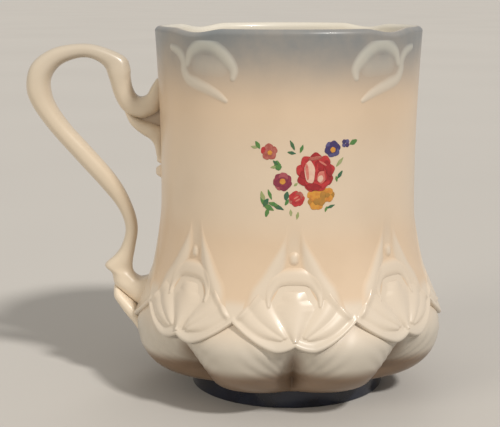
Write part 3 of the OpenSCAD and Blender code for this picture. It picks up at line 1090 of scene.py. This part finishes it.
@dataclass(frozen=True)
class Handle:
    """S-curved handle with a scrolled upper end, the leaf under it and the shell at its heel."""

    reach: float = 71.7
    top_h: float = 95.1
    low_h: float = 22.2
    width: float = 8.4
    fullness: float = 0.85
    around: int = 48
    cap_rows: int = 4
    curve_rows: int = 220
    root_rows: int = 60
    web_rows: int = 24
    heel_rows: int = 48
    web_painted_shade: float = 0.6

    def section(self, shares: Sequence[float], th: float) -> Vector:
        """Point of the section that one row of shares describes.

        Args:
            shares: Place and height share of both edges, and the width share.
            th: Angle round the section.

        Returns:
            The point in metres; the handle lies in the plane of the cup's axis towards -X.
        """
        span = self.reach - FORM.waist_r
        tall = self.top_h - self.low_h
        za, zb = self.low_h + tall * shares[1], self.low_h + tall * shares[3]
        ra = FORM.wall_r(za) + span * shares[0]
        rb = FORM.wall_r(zb) + span * shares[2]
        c, s = math.cos(th), math.sin(th)
        c = math.copysign(abs(c) ** self.fullness, c)
        s = math.copysign(abs(s) ** self.fullness, s)
        r = (ra + rb) / 2 + (ra - rb) / 2 * c
        z = (za + zb) / 2 + (za - zb) / 2 * c
        return Vector((-r, self.width / 2 * shares[4] * s, z)) * MM

    def loft(self, table: Sequence[Sequence[float]], rows: int) -> bmesh.types.BMesh:
        """Closed tube through a table of sections, rounded off at both ends.

        Args:
            table: Rows of shares, one for each section.
            rows: Number of rows between the rounded ends.

        Returns:
            The mesh.
        """
        cap = self.cap_rows

        def place(th: float, row: float) -> Vector:
            """Place of one vertex, drawn in near both ends.

            Args:
                th: Angle round the section.
                row: Row of the vertex.

            Returns:
                The place in metres.
            """
            inner = min(max(round(row) - cap, 0), rows - 1)
            shares = curve_point(table, inner / (rows - 1))
            end = min(round(row), rows - 1 + 2 * cap - round(row), cap) / cap
            point = self.section(shares, th)
            if end < 1:
                middle = (self.section(shares, 0) + self.section(shares, math.pi)) / 2
                point = middle + (point - middle) * math.sin(math.pi / 2 * end)
            return point

        return place_rows(spun_sheet(rows + 2 * cap, self.around), place)

    def build(self, glaze: bpy.types.Material) -> None:
        """Loft the handle with its hooked upper end, the leaf under it and the web between.

        Args:
            glaze: Its material.
        """
        curve = self.loft(HANDLE_SHARES, self.curve_rows)
        enter("handle_scrolled", curve, [glaze], Slot.HANDLE, ["handle"])
        root = self.loft(ROOT_SHARES, self.root_rows)
        enter("handle_root_leaf", root, [glaze], Slot.HANDLE, ["handle"])
        web = self.loft(WEB_SHARES, self.web_rows)
        # The web lies in the shaded hollow between the scroll and the leaf; all of it gets painted
        # shade.
        painted_shade = web.verts.layers.float.new("painted_shade")
        for v in web.verts:
            v[painted_shade] = self.web_painted_shade
        enter("handle_root_web", web, [glaze], Slot.HANDLE, ["handle"])

    def build_heel(self, glaze: bpy.types.Material) -> bpy.types.Object:
        """Loft the shell under the heel."""
        heel = self.loft(HEEL_SHARES, self.heel_rows)
        return enter("heel_shell_leaf", heel, [glaze], Slot.WHITE, ["heel_shell"])


MELT = 0.07


@dataclass(frozen=True)
class Stroke:
    """Soft stroke of relief along a path of side and height points in millimetres."""

    path: tuple[tuple[float, float], ...]
    half_ws: tuple[float, ...]
    relief: float
    fullness: float = 2.0
    steps: int = 28

    def height(self, places: np.ndarray) -> np.ndarray:
        """Height of the stroke over the wall.

        Args:
            places: Rows of side and height.

        Returns:
            One height for each row, 0 outside the stroke.
        """
        line = np.array([curve_point(self.path, i / self.steps) for i in range(self.steps + 1)])
        spans = np.diff(line, axis=0)
        reach = places[:, None] - line[:-1]
        t = ((reach * spans).sum(2) / (spans ** 2).sum(1)).clip(0, 1)
        gaps = np.linalg.norm(reach - t[..., None] * spans, axis=2)
        nearest = gaps.argmin(axis=1)
        rows = np.arange(len(places))
        along = (nearest + t[rows, nearest]) / self.steps
        half = np.interp(along, np.linspace(0, 1, len(self.half_ws)), self.half_ws)
        share = (gaps[rows, nearest] / half).clip(0, 1)
        return self.relief * (1 - share ** self.fullness) ** 2


@dataclass(frozen=True)
class Relief:
    """Open sheet that carries strokes of relief, just under the wall where it is plain."""

    strokes: tuple[Stroke, ...]
    swells: tuple[Stroke, ...]
    half_w: float
    low_h: float
    high_h: float
    columns: int = 90
    rows: int = 80
    mirrored: bool = False
    top: float = 0.8
    side_fade: float = 0.09
    end_fade: float = 0.05
    union_power: int = 5
    dip_painted_shade: float = 0.7

    def half_w_at(self, z: float) -> float:
        """Half width of the sheet at the height z."""
        return self.half_w

    def low_at(self, share: float) -> float:
        """Height of the sheet's lower border at a share of its half width."""
        return self.low_h

    def build(self, th0: float, lean: float = 1.0) -> bmesh.types.BMesh:
        """Shape the sheet on the wall, with its border just under the glaze.

        Args:
            th0: Bearing of the ornament's middle.
            lean: -1 for the mirrored ornament, else 1.

        Returns:
            The open sheet, with each vertex's height share in the attribute "raised" and, in
            "pooled", its share of painted shade, laid into the dips of the sunk swells such as the
            slot under a cap.
        """
        bm = bmesh.new()
        bmesh.ops.create_grid(bm, x_segments=self.columns, y_segments=self.rows, size=1)
        places = []
        for v in bm.verts:
            z = mix(self.low_at(v.co.x), self.high_h, (v.co.y + 1) / 2)
            places.append((v.co.x * self.half_w_at(z), z))
        places = np.array(places)
        asked = np.abs(places) if self.mirrored else places
        power = self.union_power
        total = sum(stroke.height(asked) ** power for stroke in self.strokes) ** (1 / power)
        total += sum(swell.height(asked) for swell in self.swells)
        total *= np.array([smooth((1 - abs(v.co.x)) / self.side_fade)
                           * smooth((1 - abs(v.co.y)) / self.end_fade) for v in bm.verts])
        dips = sum(swell.height(asked) for swell in self.swells if swell.relief < 0) + 0 * total
        raised = bm.verts.layers.float.new("raised")
        painted_shade = bm.verts.layers.float.new("painted_shade")
        for v, (side, z), height, dip in zip(bm.verts, places, total, dips):
            # Painted shade in the dips, such as the slot under a pendant's cap.
            v[painted_shade] = -self.dip_painted_shade * dip
            th = th0 + lean * side / FORM.wall_r(z)
            v[raised] = max(FORM.pale_share(th, z), min(1.0, height / self.top))
            v.co = FORM.on_wall(th0, lean * side, z, height * (1 + MELT) - MELT)
        return settle(bm)


@dataclass(frozen=True)
class FieldRelief(Relief):
    """Relief sheet that fills the field between two ribs, down to the drapery's edge."""

    rib_lap: float = 1.5
    edge_gap: float = 1.2

    def half_w_at(self, z: float) -> float:
        """Half width of the field at the height z."""
        return min(self.half_w, math.radians(FORM.rib_angle(z)) * FORM.wall_r(z) + self.rib_lap)

    def low_at(self, share: float) -> float:
        """Height just over the drapery's edge."""
        return FORM.edge_h(share * self.half_w / FORM.belly_r) + self.edge_gap


@dataclass(frozen=True)
class Strip:
    """A raised ridge that follows a path of side and height points on the wall."""

    path: tuple[tuple[float, float], ...]
    half_ws: tuple[float, float]
    relief: float
    sink: float = 0.9
    start: float = 0.25
    stop: float = 0.25
    rows: int = 100
    around: int = 28
    look: float = 0.01
    tip_share: float = 0.3

    def build(self, th0: float, mirror: float = 1.0) -> bmesh.types.BMesh:
        """Shape the ridge on the wall.

        Args:
            th0: Bearing in radians that the path's sides are measured from.
            mirror: -1 for the mirrored ridge, else 1.

        Returns:
            The closed mesh, with the height share of each vertex in the attribute "raised".
        """
        def place(th: float, row: float) -> Vector:
            """Place of one vertex.

            Args:
                th: Angle round the ridge.
                row: Row along the ridge.

            Returns:
                The place in metres.
            """
            t = row / (self.rows - 1)
            p = Vector(curve_point(self.path, t))
            q = (Vector(curve_point(self.path, min(1.0, t + self.look)))
                 - Vector(curve_point(self.path, max(0.0, t - self.look))))
            q.normalize()
            taper = smooth(t / self.start) if t < self.start else smooth((1 - t) / self.stop)
            across = math.cos(th)
            narrowed = self.tip_share + (1 - self.tip_share) * taper
            side = mix(*self.half_ws, t) * narrowed * across
            lift = -self.sink * abs(math.sin(th)) - MELT
            if math.sin(th) > 0:
                crown = max(0.0, 1 - across * across) ** 2
                lift = (self.relief * taper + MELT) * crown - MELT
            if row in (0, self.rows - 1):
                side, lift = 0.0, -MELT
            p += Vector((q.y, -q.x)) * side
            return FORM.on_wall(th0, mirror * p.x, p.y, lift)

        bm = place_rows(spun_sheet(self.rows, self.around), place)
        raised = bm.verts.layers.float.new("raised")
        for v in bm.verts:
            wall = FORM.outside(math.atan2(v.co.y, v.co.x), v.co.z / MM)
            over = math.hypot(v.co.x, v.co.y) / MM - wall
            v[raised] = max(0.0, min(1.0, over / self.relief))
        return bm


SHELL_AND_CAP = (
    Stroke(((0, 42.9), (0, 42.3)), (1.9, 1.8), 0.55),
    Stroke(((0, 38.2), (2.6, 38.0), (4.8, 37.0), (6.1, 35.2), (6.7, 33.0), (6.6, 31.0)),
           (2.6, 2.6, 2.3, 1.8, 1.1, 0.5), 0.6, 3.0),
    Stroke(((0, 32.4), (0, 31.4), (0, 30.0), (0, 28.2), (0, 26.3), (0, 24.4), (0, 22.9)),
           (4.0, 5.6, 5.9, 4.8, 3.3, 2.0, 0.9), 0.8),
    Stroke(((2.6, 24.0), (5.4, 27.0), (8.2, 30.2), (10.6, 35.0)), (1.0, 2.5, 3.4, 3.2), 0.5),
    Stroke(((3.6, 23.5), (7.4, 24.9), (11.2, 27.0), (15.4, 30.8)), (0.9, 2.0, 2.8, 2.8), 0.45),
)

SHELL_SWELL = (
    Stroke(((4.6, 25.6), (8.5, 27.6), (12.0, 29.8)), (3.2, 5.6, 5.0), 0.3),
    Stroke(((0, 35.3), (1.8, 35.3), (3.2, 35.1), (4.0, 34.0)), (0.85, 0.85, 0.8, 0.5), -0.5),
)

ARCH_AND_BRANCH = (
    Stroke(((-2.2, 91.0), (-1.2, 93.6), (0.9, 95.2), (3.6, 96.0), (6.6, 95.7), (9.4, 94.2),
            (11.6, 91.9), (12.6, 89.8), (12.2, 87.8)),
           (1.2, 1.9, 2.3, 2.5, 2.5, 2.4, 2.2, 1.8, 1.1), 0.28),
    Stroke(((-9.0, 95.0), (-5.6, 94.0), (-3.6, 91.6), (-3.6, 89.2), (-2.0, 87.1), (1.4, 85.9),
            (4.7, 84.9), (7.7, 83.6), (10.0, 82.2)),
           (1.4, 2.1, 2.2, 2.1, 2.2, 2.3, 2.2, 1.8, 1.0), 0.26),
)

SCROLL_SWELL = (
    Stroke(((2.0, 91.0), (8.5, 90.6)), (5.0, 5.0), 0.12),
)


class Ornaments:
    """Moulded relief round the bowl: ribs, pendants, rim scrolls and the leaf by the handle."""

    scroll_count: int = 4
    field_behind_handle: int = 4
    rib_end_gap: float = 1.6
    rib_steps: int = 16

    def __init__(self, glaze: bpy.types.Material) -> None:
        """Keep the glaze that the relief is dressed with."""
        self.glaze = glaze

    def rib_path(self) -> tuple[tuple[float, float], ...]:
        """Path of one rib from its top down to the drapery's peak.

        Returns:
            Side and height of each point.
        """
        end_h = FORM.drape_peak_h + self.rib_end_gap
        heights = [mix(FORM.rib_top_h, end_h, i / self.rib_steps)
                   for i in range(self.rib_steps + 1)]
        return tuple((math.radians(FORM.rib_angle(z)) * FORM.wall_r(z), z) for z in heights)

    def spread(self, template: bmesh.types.BMesh, fields: Sequence[int], name: str,
               node: str) -> None:
        """Enter turned copies of a template, and free it.

        Args:
            template: Mesh of the ornament in the field at +X.
            fields: Fields that get a copy, counted from +X.
            name: Name of the pieces, which a number is added to.
            node: Name of the CAD nodes, which the same number is added to.
        """
        for number, field in enumerate(fields, 1):
            bm = template.copy()
            turn = math.radians(2 * FORM.half_step * field)
            bmesh.ops.rotate(bm, verts=bm.verts, cent=(0, 0, 0),
                             matrix=Matrix.Rotation(turn, 3, "Z"))
            enter(f"{name}_{number}", bm, [self.glaze], Slot.WHITE, [f"{node}_{number}"])
        template.free()

    def build_ribs(self) -> None:
        """Build the eight pairs of ribs."""
        rib = Strip(self.rib_path(), half_ws=(1.6, 4.8), relief=0.42, start=0.5, stop=0.26)
        template = bmesh.new()
        for side in (-1, 1):
            join(template, rib.build(0.0, side))
        self.spread(template, range(FORM.petals), "rib_relief", "rib_pair")

    def build_pendants(self) -> None:
        """Build the seven pendants, each of a bead, a cap, a boss and fluted shells."""
        pendant = FieldRelief(SHELL_AND_CAP, SHELL_SWELL, half_w=16.0, low_h=20.0, high_h=45.8,
                              columns=120, rows=100, mirrored=True)
        fields = [k for k in range(FORM.petals) if k != self.field_behind_handle]
        self.spread(pendant.build(0.0), fields, "pendant_relief", "pendant")

    def build_scrolls(self) -> None:
        """Build the four scrolls under the rim's dips."""
        scroll = Relief(ARCH_AND_BRANCH, SCROLL_SWELL, half_w=16.8, low_h=80.0, high_h=97.3,
                        columns=120, rows=70, top=0.3)
        for i in range(self.scroll_count):
            bearing = math.radians(FORM.scroll_bearing + FORM.scroll_step * i)
            bm = scroll.build(bearing, 1.0 if i % 2 == 0 else -1.0)
            enter(f"rim_scroll_relief_{i + 1}", bm, [self.glaze], Slot.HANDLE,
                  [f"rim_scroll_{i + 1}"])

    def build_tail_leaf(self) -> None:
        """Build the leaf and drop on the wall under the handle's upper end."""
        strokes = (Stroke(((0, 71.0), (0, 66.5), (0, 62.8)), (1.6, 1.8, 1.0), 1.2),
                   Stroke(((0, 60.6), (0, 59.4)), (1.6, 1.6), 1.5))
        leaf = Relief(strokes, (), half_w=2.6, low_h=57.0, high_h=73.0, columns=30, rows=70)
        enter("tail_leaf_drop", leaf.build(math.pi), [self.glaze], Slot.HANDLE, ["tail_leaf"])


PAINT_LIFT = 0.03
PAINT_LAYER = 0.035
PAINT_RIPPLE = 0.04


@dataclass(frozen=True)
class Dab:
    """One dab of enamel: place, half length, half width, turn in degrees, tone and layer.

    The tone counts the enamels of its colour. A dab with a point is narrower at its ends.
    """

    x: float
    z: float
    half_l: float
    half_w: float
    turn: float = 0.0
    tone: int = 0
    layer: int = 0
    point: float = 0.0

    def build(self) -> bmesh.types.BMesh:
        """Shape a thin pad on the painted side of the wall.

        Returns:
            The mesh.
        """
        bm = bmesh.new()
        bmesh.ops.create_uvsphere(bm, u_segments=28, v_segments=10, radius=1)
        turn = math.radians(self.turn)
        for v in bm.verts:
            x, y, z = v.co
            y *= 1 - self.point * abs(x)
            ripple = 1 + PAINT_RIPPLE * math.sin(5 * math.atan2(y, x) + self.x * 3 + self.z)
            a, b = x * self.half_l * ripple, y * self.half_w * ripple
            side = self.x + a * math.cos(turn) - b * math.sin(turn)
            height = self.z + a * math.sin(turn) + b * math.cos(turn)
            lift = PAINT_LIFT + PAINT_LAYER * self.layer + PAINT_LIFT * z
            v.co = FORM.on_wall(PAINTED_SIDE, side, height, lift)
        return settle(bm)


ENAMELS = {
    Slot.RED: (("rose_red_enamel", (0.50, 0.035, 0.035), (0.40, 0.02, 0.025)),
               ("deep_red_enamel", (0.28, 0.010, 0.014), (0.36, 0.015, 0.02)),
               ("pale_rose_enamel", (0.62, 0.20, 0.15), (0.55, 0.14, 0.11)),
               ("bare_rose_enamel", (0.72, 0.50, 0.38), (0.68, 0.43, 0.33)),
               ("dusty_red_enamel", (0.36, 0.075, 0.055), (0.44, 0.13, 0.10))),
    Slot.MAUVE: (("mauve_enamel", (0.27, 0.03, 0.06), (0.20, 0.02, 0.05)),
                 ("pale_mauve_enamel", (0.42, 0.10, 0.11), (0.35, 0.07, 0.09))),
    Slot.NAVY: (("navy_enamel", (0.035, 0.03, 0.12), (0.06, 0.03, 0.12)),
                ("violet_blue_enamel", (0.10, 0.09, 0.22), (0.07, 0.06, 0.17))),
    Slot.YELLOW: (("golden_enamel", (0.62, 0.29, 0.04), (0.55, 0.20, 0.03)),
                  ("ochre_enamel", (0.36, 0.18, 0.03), (0.44, 0.20, 0.03))),
    Slot.GREEN: (("leaf_green_enamel", (0.06, 0.19, 0.05), (0.10, 0.22, 0.05)),
                 ("deep_green_enamel", (0.03, 0.11, 0.06), (0.05, 0.14, 0.05)),
                 ("pale_green_enamel", (0.28, 0.33, 0.13), (0.33, 0.36, 0.17)))}

LEAVES = (
    (-9.3, 71.5, 1.1, 0.6, 120, 0, 0, 0.5), (-10.2, 70.9, 0.9, 0.4, 170, 2, 0, 0.5),
    (-4.3, 66.4, 1.3, 0.9, 100, 0, 0, 0.4), (-5.2, 66.0, 0.9, 0.4, 190, 2, 0, 0.5),
    (-0.6, 71.5, 1.4, 0.45, 115, 1, 0, 0.5), (-0.8, 69.6, 1.1, 0.45, 170, 1, 0, 0.5),
    (1.7, 70.6, 1.1, 0.45, 70, 0, 0, 0.5), (15.4, 71.9, 1.2, 0.7, 25, 0, 0, 0.4),
    (11.6, 67.0, 1.5, 0.5, 50, 2, 0, 0.5), (11.7, 63.8, 1.3, 0.5, 55, 1, 0, 0.5),
    (10.8, 62.8, 0.8, 0.35, 100, 0, 0, 0.5), (-7.6, 57.0, 1.7, 0.75, 125, 0, 0, 0.4),
    (-6.6, 55.8, 1.6, 0.7, 150, 0, 1, 0.4), (-4.2, 55.9, 1.7, 0.6, 155, 1, 0, 0.5),
    (-6.2, 59.0, 1.4, 0.45, 110, 0, 0, 0.5), (-2.0, 58.7, 1.2, 0.7, 80, 1, 0, 0.4),
    (-1.9, 57.1, 0.9, 0.45, 60, 0, 1, 0.5), (-0.9, 54.4, 0.9, 0.4, 95, 2, 0, 0.5),
    (-8.0, 58.3, 1.6, 0.6, 105, 2, 0, 0.4), (-7.2, 57.0, 1.2, 0.6, 60, 1, 2, 0.4),
    (-6.9, 54.4, 1.2, 0.55, 75, 0, 0, 0.4), (-5.3, 56.6, 1.3, 0.55, 165, 0, 2, 0.4),
    (-4.0, 65.9, 0.8, 0.7, 30, 0, 1, 0.3), (-4.8, 67.1, 0.8, 0.4, 140, 1, 1, 0.4),
    (0.8, 53.7, 1.0, 0.4, 80, 2, 0, 0.5), (9.3, 55.8, 1.2, 0.4, 20, 1, 0, 0.5),
    (8.1, 55.2, 0.8, 0.35, 70, 0, 0, 0.5), (0.3, 61.6, 0.6, 0.35, 40, 2, 0, 0.4))


class FloralSpray:
    """The painted spray: a rose, four small flowers, a golden cluster, a bud and their leaves."""

    def __init__(self) -> None:
        """Make the enamels."""
        self.enamels = {slot: [ColouredGlaze(*row).build() for row in rows]
                        for slot, rows in ENAMELS.items()}

    @staticmethod
    def ring(x: float, z: float, r: float, count: int, tones: Sequence[int],
             start: float = 90.0, layer: int = 0, plump: float = 0.5) -> list[Dab]:
        """Ring of petals round one place.

        Args:
            x: Side of the flower's middle.
            z: Height of the flower's middle.
            r: Outer radius.
            count: Number of petals.
            tones: Tones, used in turn.
            start: Bearing of the first petal in degrees.
            layer: Layer of the first petals.
            plump: Half width of a petal as a share of the radius.

        Returns:
            The petals.
        """
        petals = []
        for i in range(count):
            a = math.radians(start + 360 * i / count)
            petals.append(Dab(x + 0.55 * r * math.cos(a), z + 0.55 * r * math.sin(a),
                              0.47 * r, plump * r, math.degrees(a),
                              tones[i % len(tones)], layer + i % 2))
        return petals

    def rose(self) -> list[Dab]:
        """Dabs of the large rose.

        Returns:
            The dabs.
        """
        x, z, r = 5.3, 64.6, 4.7
        dabs = [Dab(x, z, 0.84 * r, 0.9 * r, 0, 0, 0)]
        dabs += self.ring(x, z, 1.05 * r, 9, (0, 0, 1), 10, 1, 0.36)
        dabs += self.ring(x, z - 0.2, 0.82 * r, 7, (1, 0, 0), 30, 3, 0.33)
        dabs += [Dab(x + side, z + up, *row) for side, up, *row in (
            (-1.5, 0.1, 1.35, 2.9, 4, 3, 5), (-2.2, 0.3, 0.4, 2.2, 6, 2, 6),
            (1.5, -1.2, 1.2, 1.6, -12, 2, 5), (1.2, -1.6, 0.7, 0.9, -20, 3, 6),
            (0.9, 1.7, 0.95, 1.5, 35, 1, 5), (3.2, 1.0, 0.8, 2.2, 16, 1, 5),
            (-0.5, -3.6, 1.9, 0.9, -8, 1, 5), (2.6, -3.0, 1.4, 0.6, 38, 0, 5),
            (-0.2, 3.6, 1.8, 0.5, 8, 4, 5), (0.15, 0.1, 0.35, 2.3, -8, 0, 6),
            (2.5, -0.6, 0.22, 1.7, 10, 0, 6), (1.8, 2.3, 1.2, 0.25, -32, 2, 6))]
        return dabs

    def small_flowers(self) -> dict[Slot, list[Dab]]:
        """Dabs of the small flowers, for each colour of enamel.

        Returns:
            The dabs for each slot.
        """
        red = self.ring(-6.4, 69.8, 2.1, 5, (4, 4, 0), 20)
        red += [Dab(-6.4, 69.7, 1.1, 1.0, 0, 4, 2)]
        red += self.ring(0.55, 58.0, 2.0, 7, (0, 4, 0), 0)
        red += [Dab(0.55, 58.0, 1.1, 1.1, 0, 0, 2), Dab(0.4, 58.3, 0.7, 0.2, 30, 2, 4),
                Dab(0.8, 57.7, 0.7, 0.2, 30, 2, 4)]
        mauve = self.ring(-3.0, 62.3, 2.35, 7, (0, 1, 0), 30)
        mauve += [Dab(-3.0, 62.3, 1.2, 1.2, 0, 0, 2)]
        blue = self.ring(9.65, 70.4, 2.1, 6, (0, 0, 1, 0, 1, 1), 15)
        blue += [Dab(9.7, 70.4, 1.15, 1.1, 0, 0, 2)]
        blue += self.ring(13.2, 71.7, 1.15, 4, (1, 0), 45)
        gold = self.ring(5.6, 57.2, 2.2, 6, (0, 0, 1), 60)
        gold += self.ring(8.4, 58.8, 1.9, 6, (1, 0, 0), 0)
        gold += [Dab(5.6, 57.2, 0.8, 0.8, 0, 1, 3), Dab(8.4, 58.8, 0.6, 0.6, 0, 1, 3),
                 Dab(5.7, 59.4, 1.3, 0.9, 10, 0, 0), Dab(3.9, 59.0, 1.0, 0.7, 70, 0, 0)]
        gold += [Dab(x, z, r, r, 0, 0, 4)
                 for x, z, r in ((-6.2, 69.6, 0.6), (-3.0, 62.4, 0.75), (9.7, 70.2, 0.7))]
        return {Slot.RED: red, Slot.MAUVE: mauve, Slot.NAVY: blue, Slot.YELLOW: gold}

    def build(self) -> None:
        """Build one piece for each colour, and the rose for itself."""
        small = self.small_flowers()
        for name, dabs, slot in (
                ("rose", self.rose(), Slot.RED),
                ("red_flowers", small[Slot.RED], Slot.RED),
                ("mauve_flower", small[Slot.MAUVE], Slot.MAUVE),
                ("blue_flowers", small[Slot.NAVY], Slot.NAVY),
                ("yellow_flowers", small[Slot.YELLOW], Slot.YELLOW),
                ("leaves", [Dab(*row) for row in LEAVES], Slot.GREEN)):
            bm = bmesh.new()
            for dab in dabs:
                join(bm, dab.build(), dab.tone)
            enter(f"enamel_{name}", bm, self.enamels[slot], slot, [f"painted_{name}"])


@dataclass(frozen=True)
class Studio:
    """Camera at the photo's viewing angle, pale floor and soft lights.

    Lengths are in metres and angles in degrees. The lit colour is the floor's under these lights.
    """

    distance: float = 0.3333
    height: float = 0.10934
    swing: float = 2.9
    aim: float = 1.80
    pitch: float = 10.47
    lens: float = 86.87
    target: Colour = (0, 0, 0.05)
    floor_half: float = 60.0
    worn_share: float = 0.97
    room_strength: float = 0.40
    pale: Colour = (0.54, 0.52, 0.49)
    lit: Colour = (0.584, 0.540, 0.479)

    def add_camera(self) -> None:
        """Place the camera and make it the scene's own."""
        data = bpy.data.cameras.new("photo_camera")
        data.lens = self.lens
        data.sensor_width = 36
        data.clip_start = 0.01
        camera = bpy.data.objects.new("photo_camera", data)
        swing = math.radians(self.swing)
        camera.location = (-self.distance * math.sin(swing), -self.distance * math.cos(swing),
                           self.height)
        camera.rotation_euler = (math.radians(90 - self.pitch), 0,
                                 math.radians(self.aim - self.swing))
        bpy.context.scene.collection.objects.link(camera)
        bpy.context.scene.camera = camera

    def add_floor(self) -> None:
        """Add the plain pale floor."""
        bm = bmesh.new()
        bmesh.ops.create_grid(bm, x_segments=2, y_segments=2, size=self.floor_half)
        mesh = bpy.data.meshes.new("studio_floor")
        bm.to_mesh(mesh)
        bm.free()
        floor = bpy.data.objects.new("studio_floor", mesh)
        bpy.context.scene.collection.objects.link(floor)
        board = NodeBoard("pale_floor")
        tone = board.remap(board.noise(3, 2), 0.3, 0.7, 0, 1)
        worn = tuple(self.worn_share * share for share in self.pale)
        board.link(board.blend(tone, self.pale, worn), board.shader.inputs["Base Color"])
        board.shader.inputs["Roughness"].default_value = 0.8
        board.shader.inputs["Specular IOR Level"].default_value = 0.0
        mesh.materials.append(board.material)

    def add_light(self, name: str, place: Colour, angle: float, power: float, colour: Colour,
                  glossy: bool = False) -> None:
        """Add one soft light that comes from far off, so that it lights the floor evenly.

        Args:
            name: Name of the light.
            place: Where it stands, in metres.
            angle: Its apparent size in degrees.
            power: Strength in watts per square metre.
            colour: Its colour.
            glossy: Whether the glaze mirrors it.
        """
        data = bpy.data.lights.new(name, "SUN")
        data.angle = math.radians(angle)
        data.energy = power
        data.color = colour
        light = bpy.data.objects.new(name, data)
        light.location = place
        light.visible_glossy = glossy
        way = Vector(self.target) - Vector(place)
        light.rotation_euler = way.to_track_quat("-Z", "Y").to_euler()
        bpy.context.scene.collection.objects.link(light)

    def add_world(self) -> None:
        """Light the room evenly, and show the camera the lit floor's colour behind it."""
        world = bpy.data.worlds.new("soft_room")
        world.use_nodes = True
        tree = world.node_tree
        room = tree.nodes["Background"]
        room.inputs["Color"].default_value = (1.0, 0.97, 0.93, 1)
        room.inputs["Strength"].default_value = self.room_strength
        seen = tree.nodes.new("ShaderNodeBackground")
        seen.inputs["Color"].default_value = (*self.lit, 1)
        seen.inputs["Strength"].default_value = 1.0
        path = tree.nodes.new("ShaderNodeLightPath")
        either = tree.nodes.new("ShaderNodeMixShader")
        tree.links.new(path.outputs["Is Camera Ray"], either.inputs[0])
        tree.links.new(room.outputs[0], either.inputs[1])
        tree.links.new(seen.outputs[0], either.inputs[2])
        tree.links.new(either.outputs[0], tree.nodes["World Output"].inputs["Surface"])
        bpy.context.scene.world = world

    def build(self) -> None:
        """Build the studio."""
        self.add_camera()
        self.add_floor()
        self.add_light("key_light", (0.62, -0.72, 1.02), 7.0, 2.3, (1.0, 0.96, 0.91), True)
        self.add_light("fill_light", (-0.8, -0.6, 0.4), 26.0, 1.0, (1.0, 0.93, 0.81))
        self.add_light("back_light", (0.2, 0.9, 0.7), 30.0, 0.38, (1.0, 0.98, 0.96))
        self.add_world()
        bpy.context.scene.view_settings.view_transform = "Standard"


def main() -> None:
    """Build the cup piece by piece, then the studio round it."""
    palette = Palette.build()
    bowl = Bowl()
    bowl.build_wall(palette.body)
    bowl.build_petals(palette.body)
    Foot().build(palette.foot)
    GuardShelf().build(palette.body)
    handle = Handle()
    handle.build(palette.handle)
    handle.build_heel(palette.handle)
    ornaments = Ornaments(palette.body)
    ornaments.build_ribs()
    ornaments.build_pendants()
    ornaments.build_scrolls()
    ornaments.build_tail_leaf()
    FloralSpray().build()
    Studio().build()


if __name__ == "__main__":
    main()
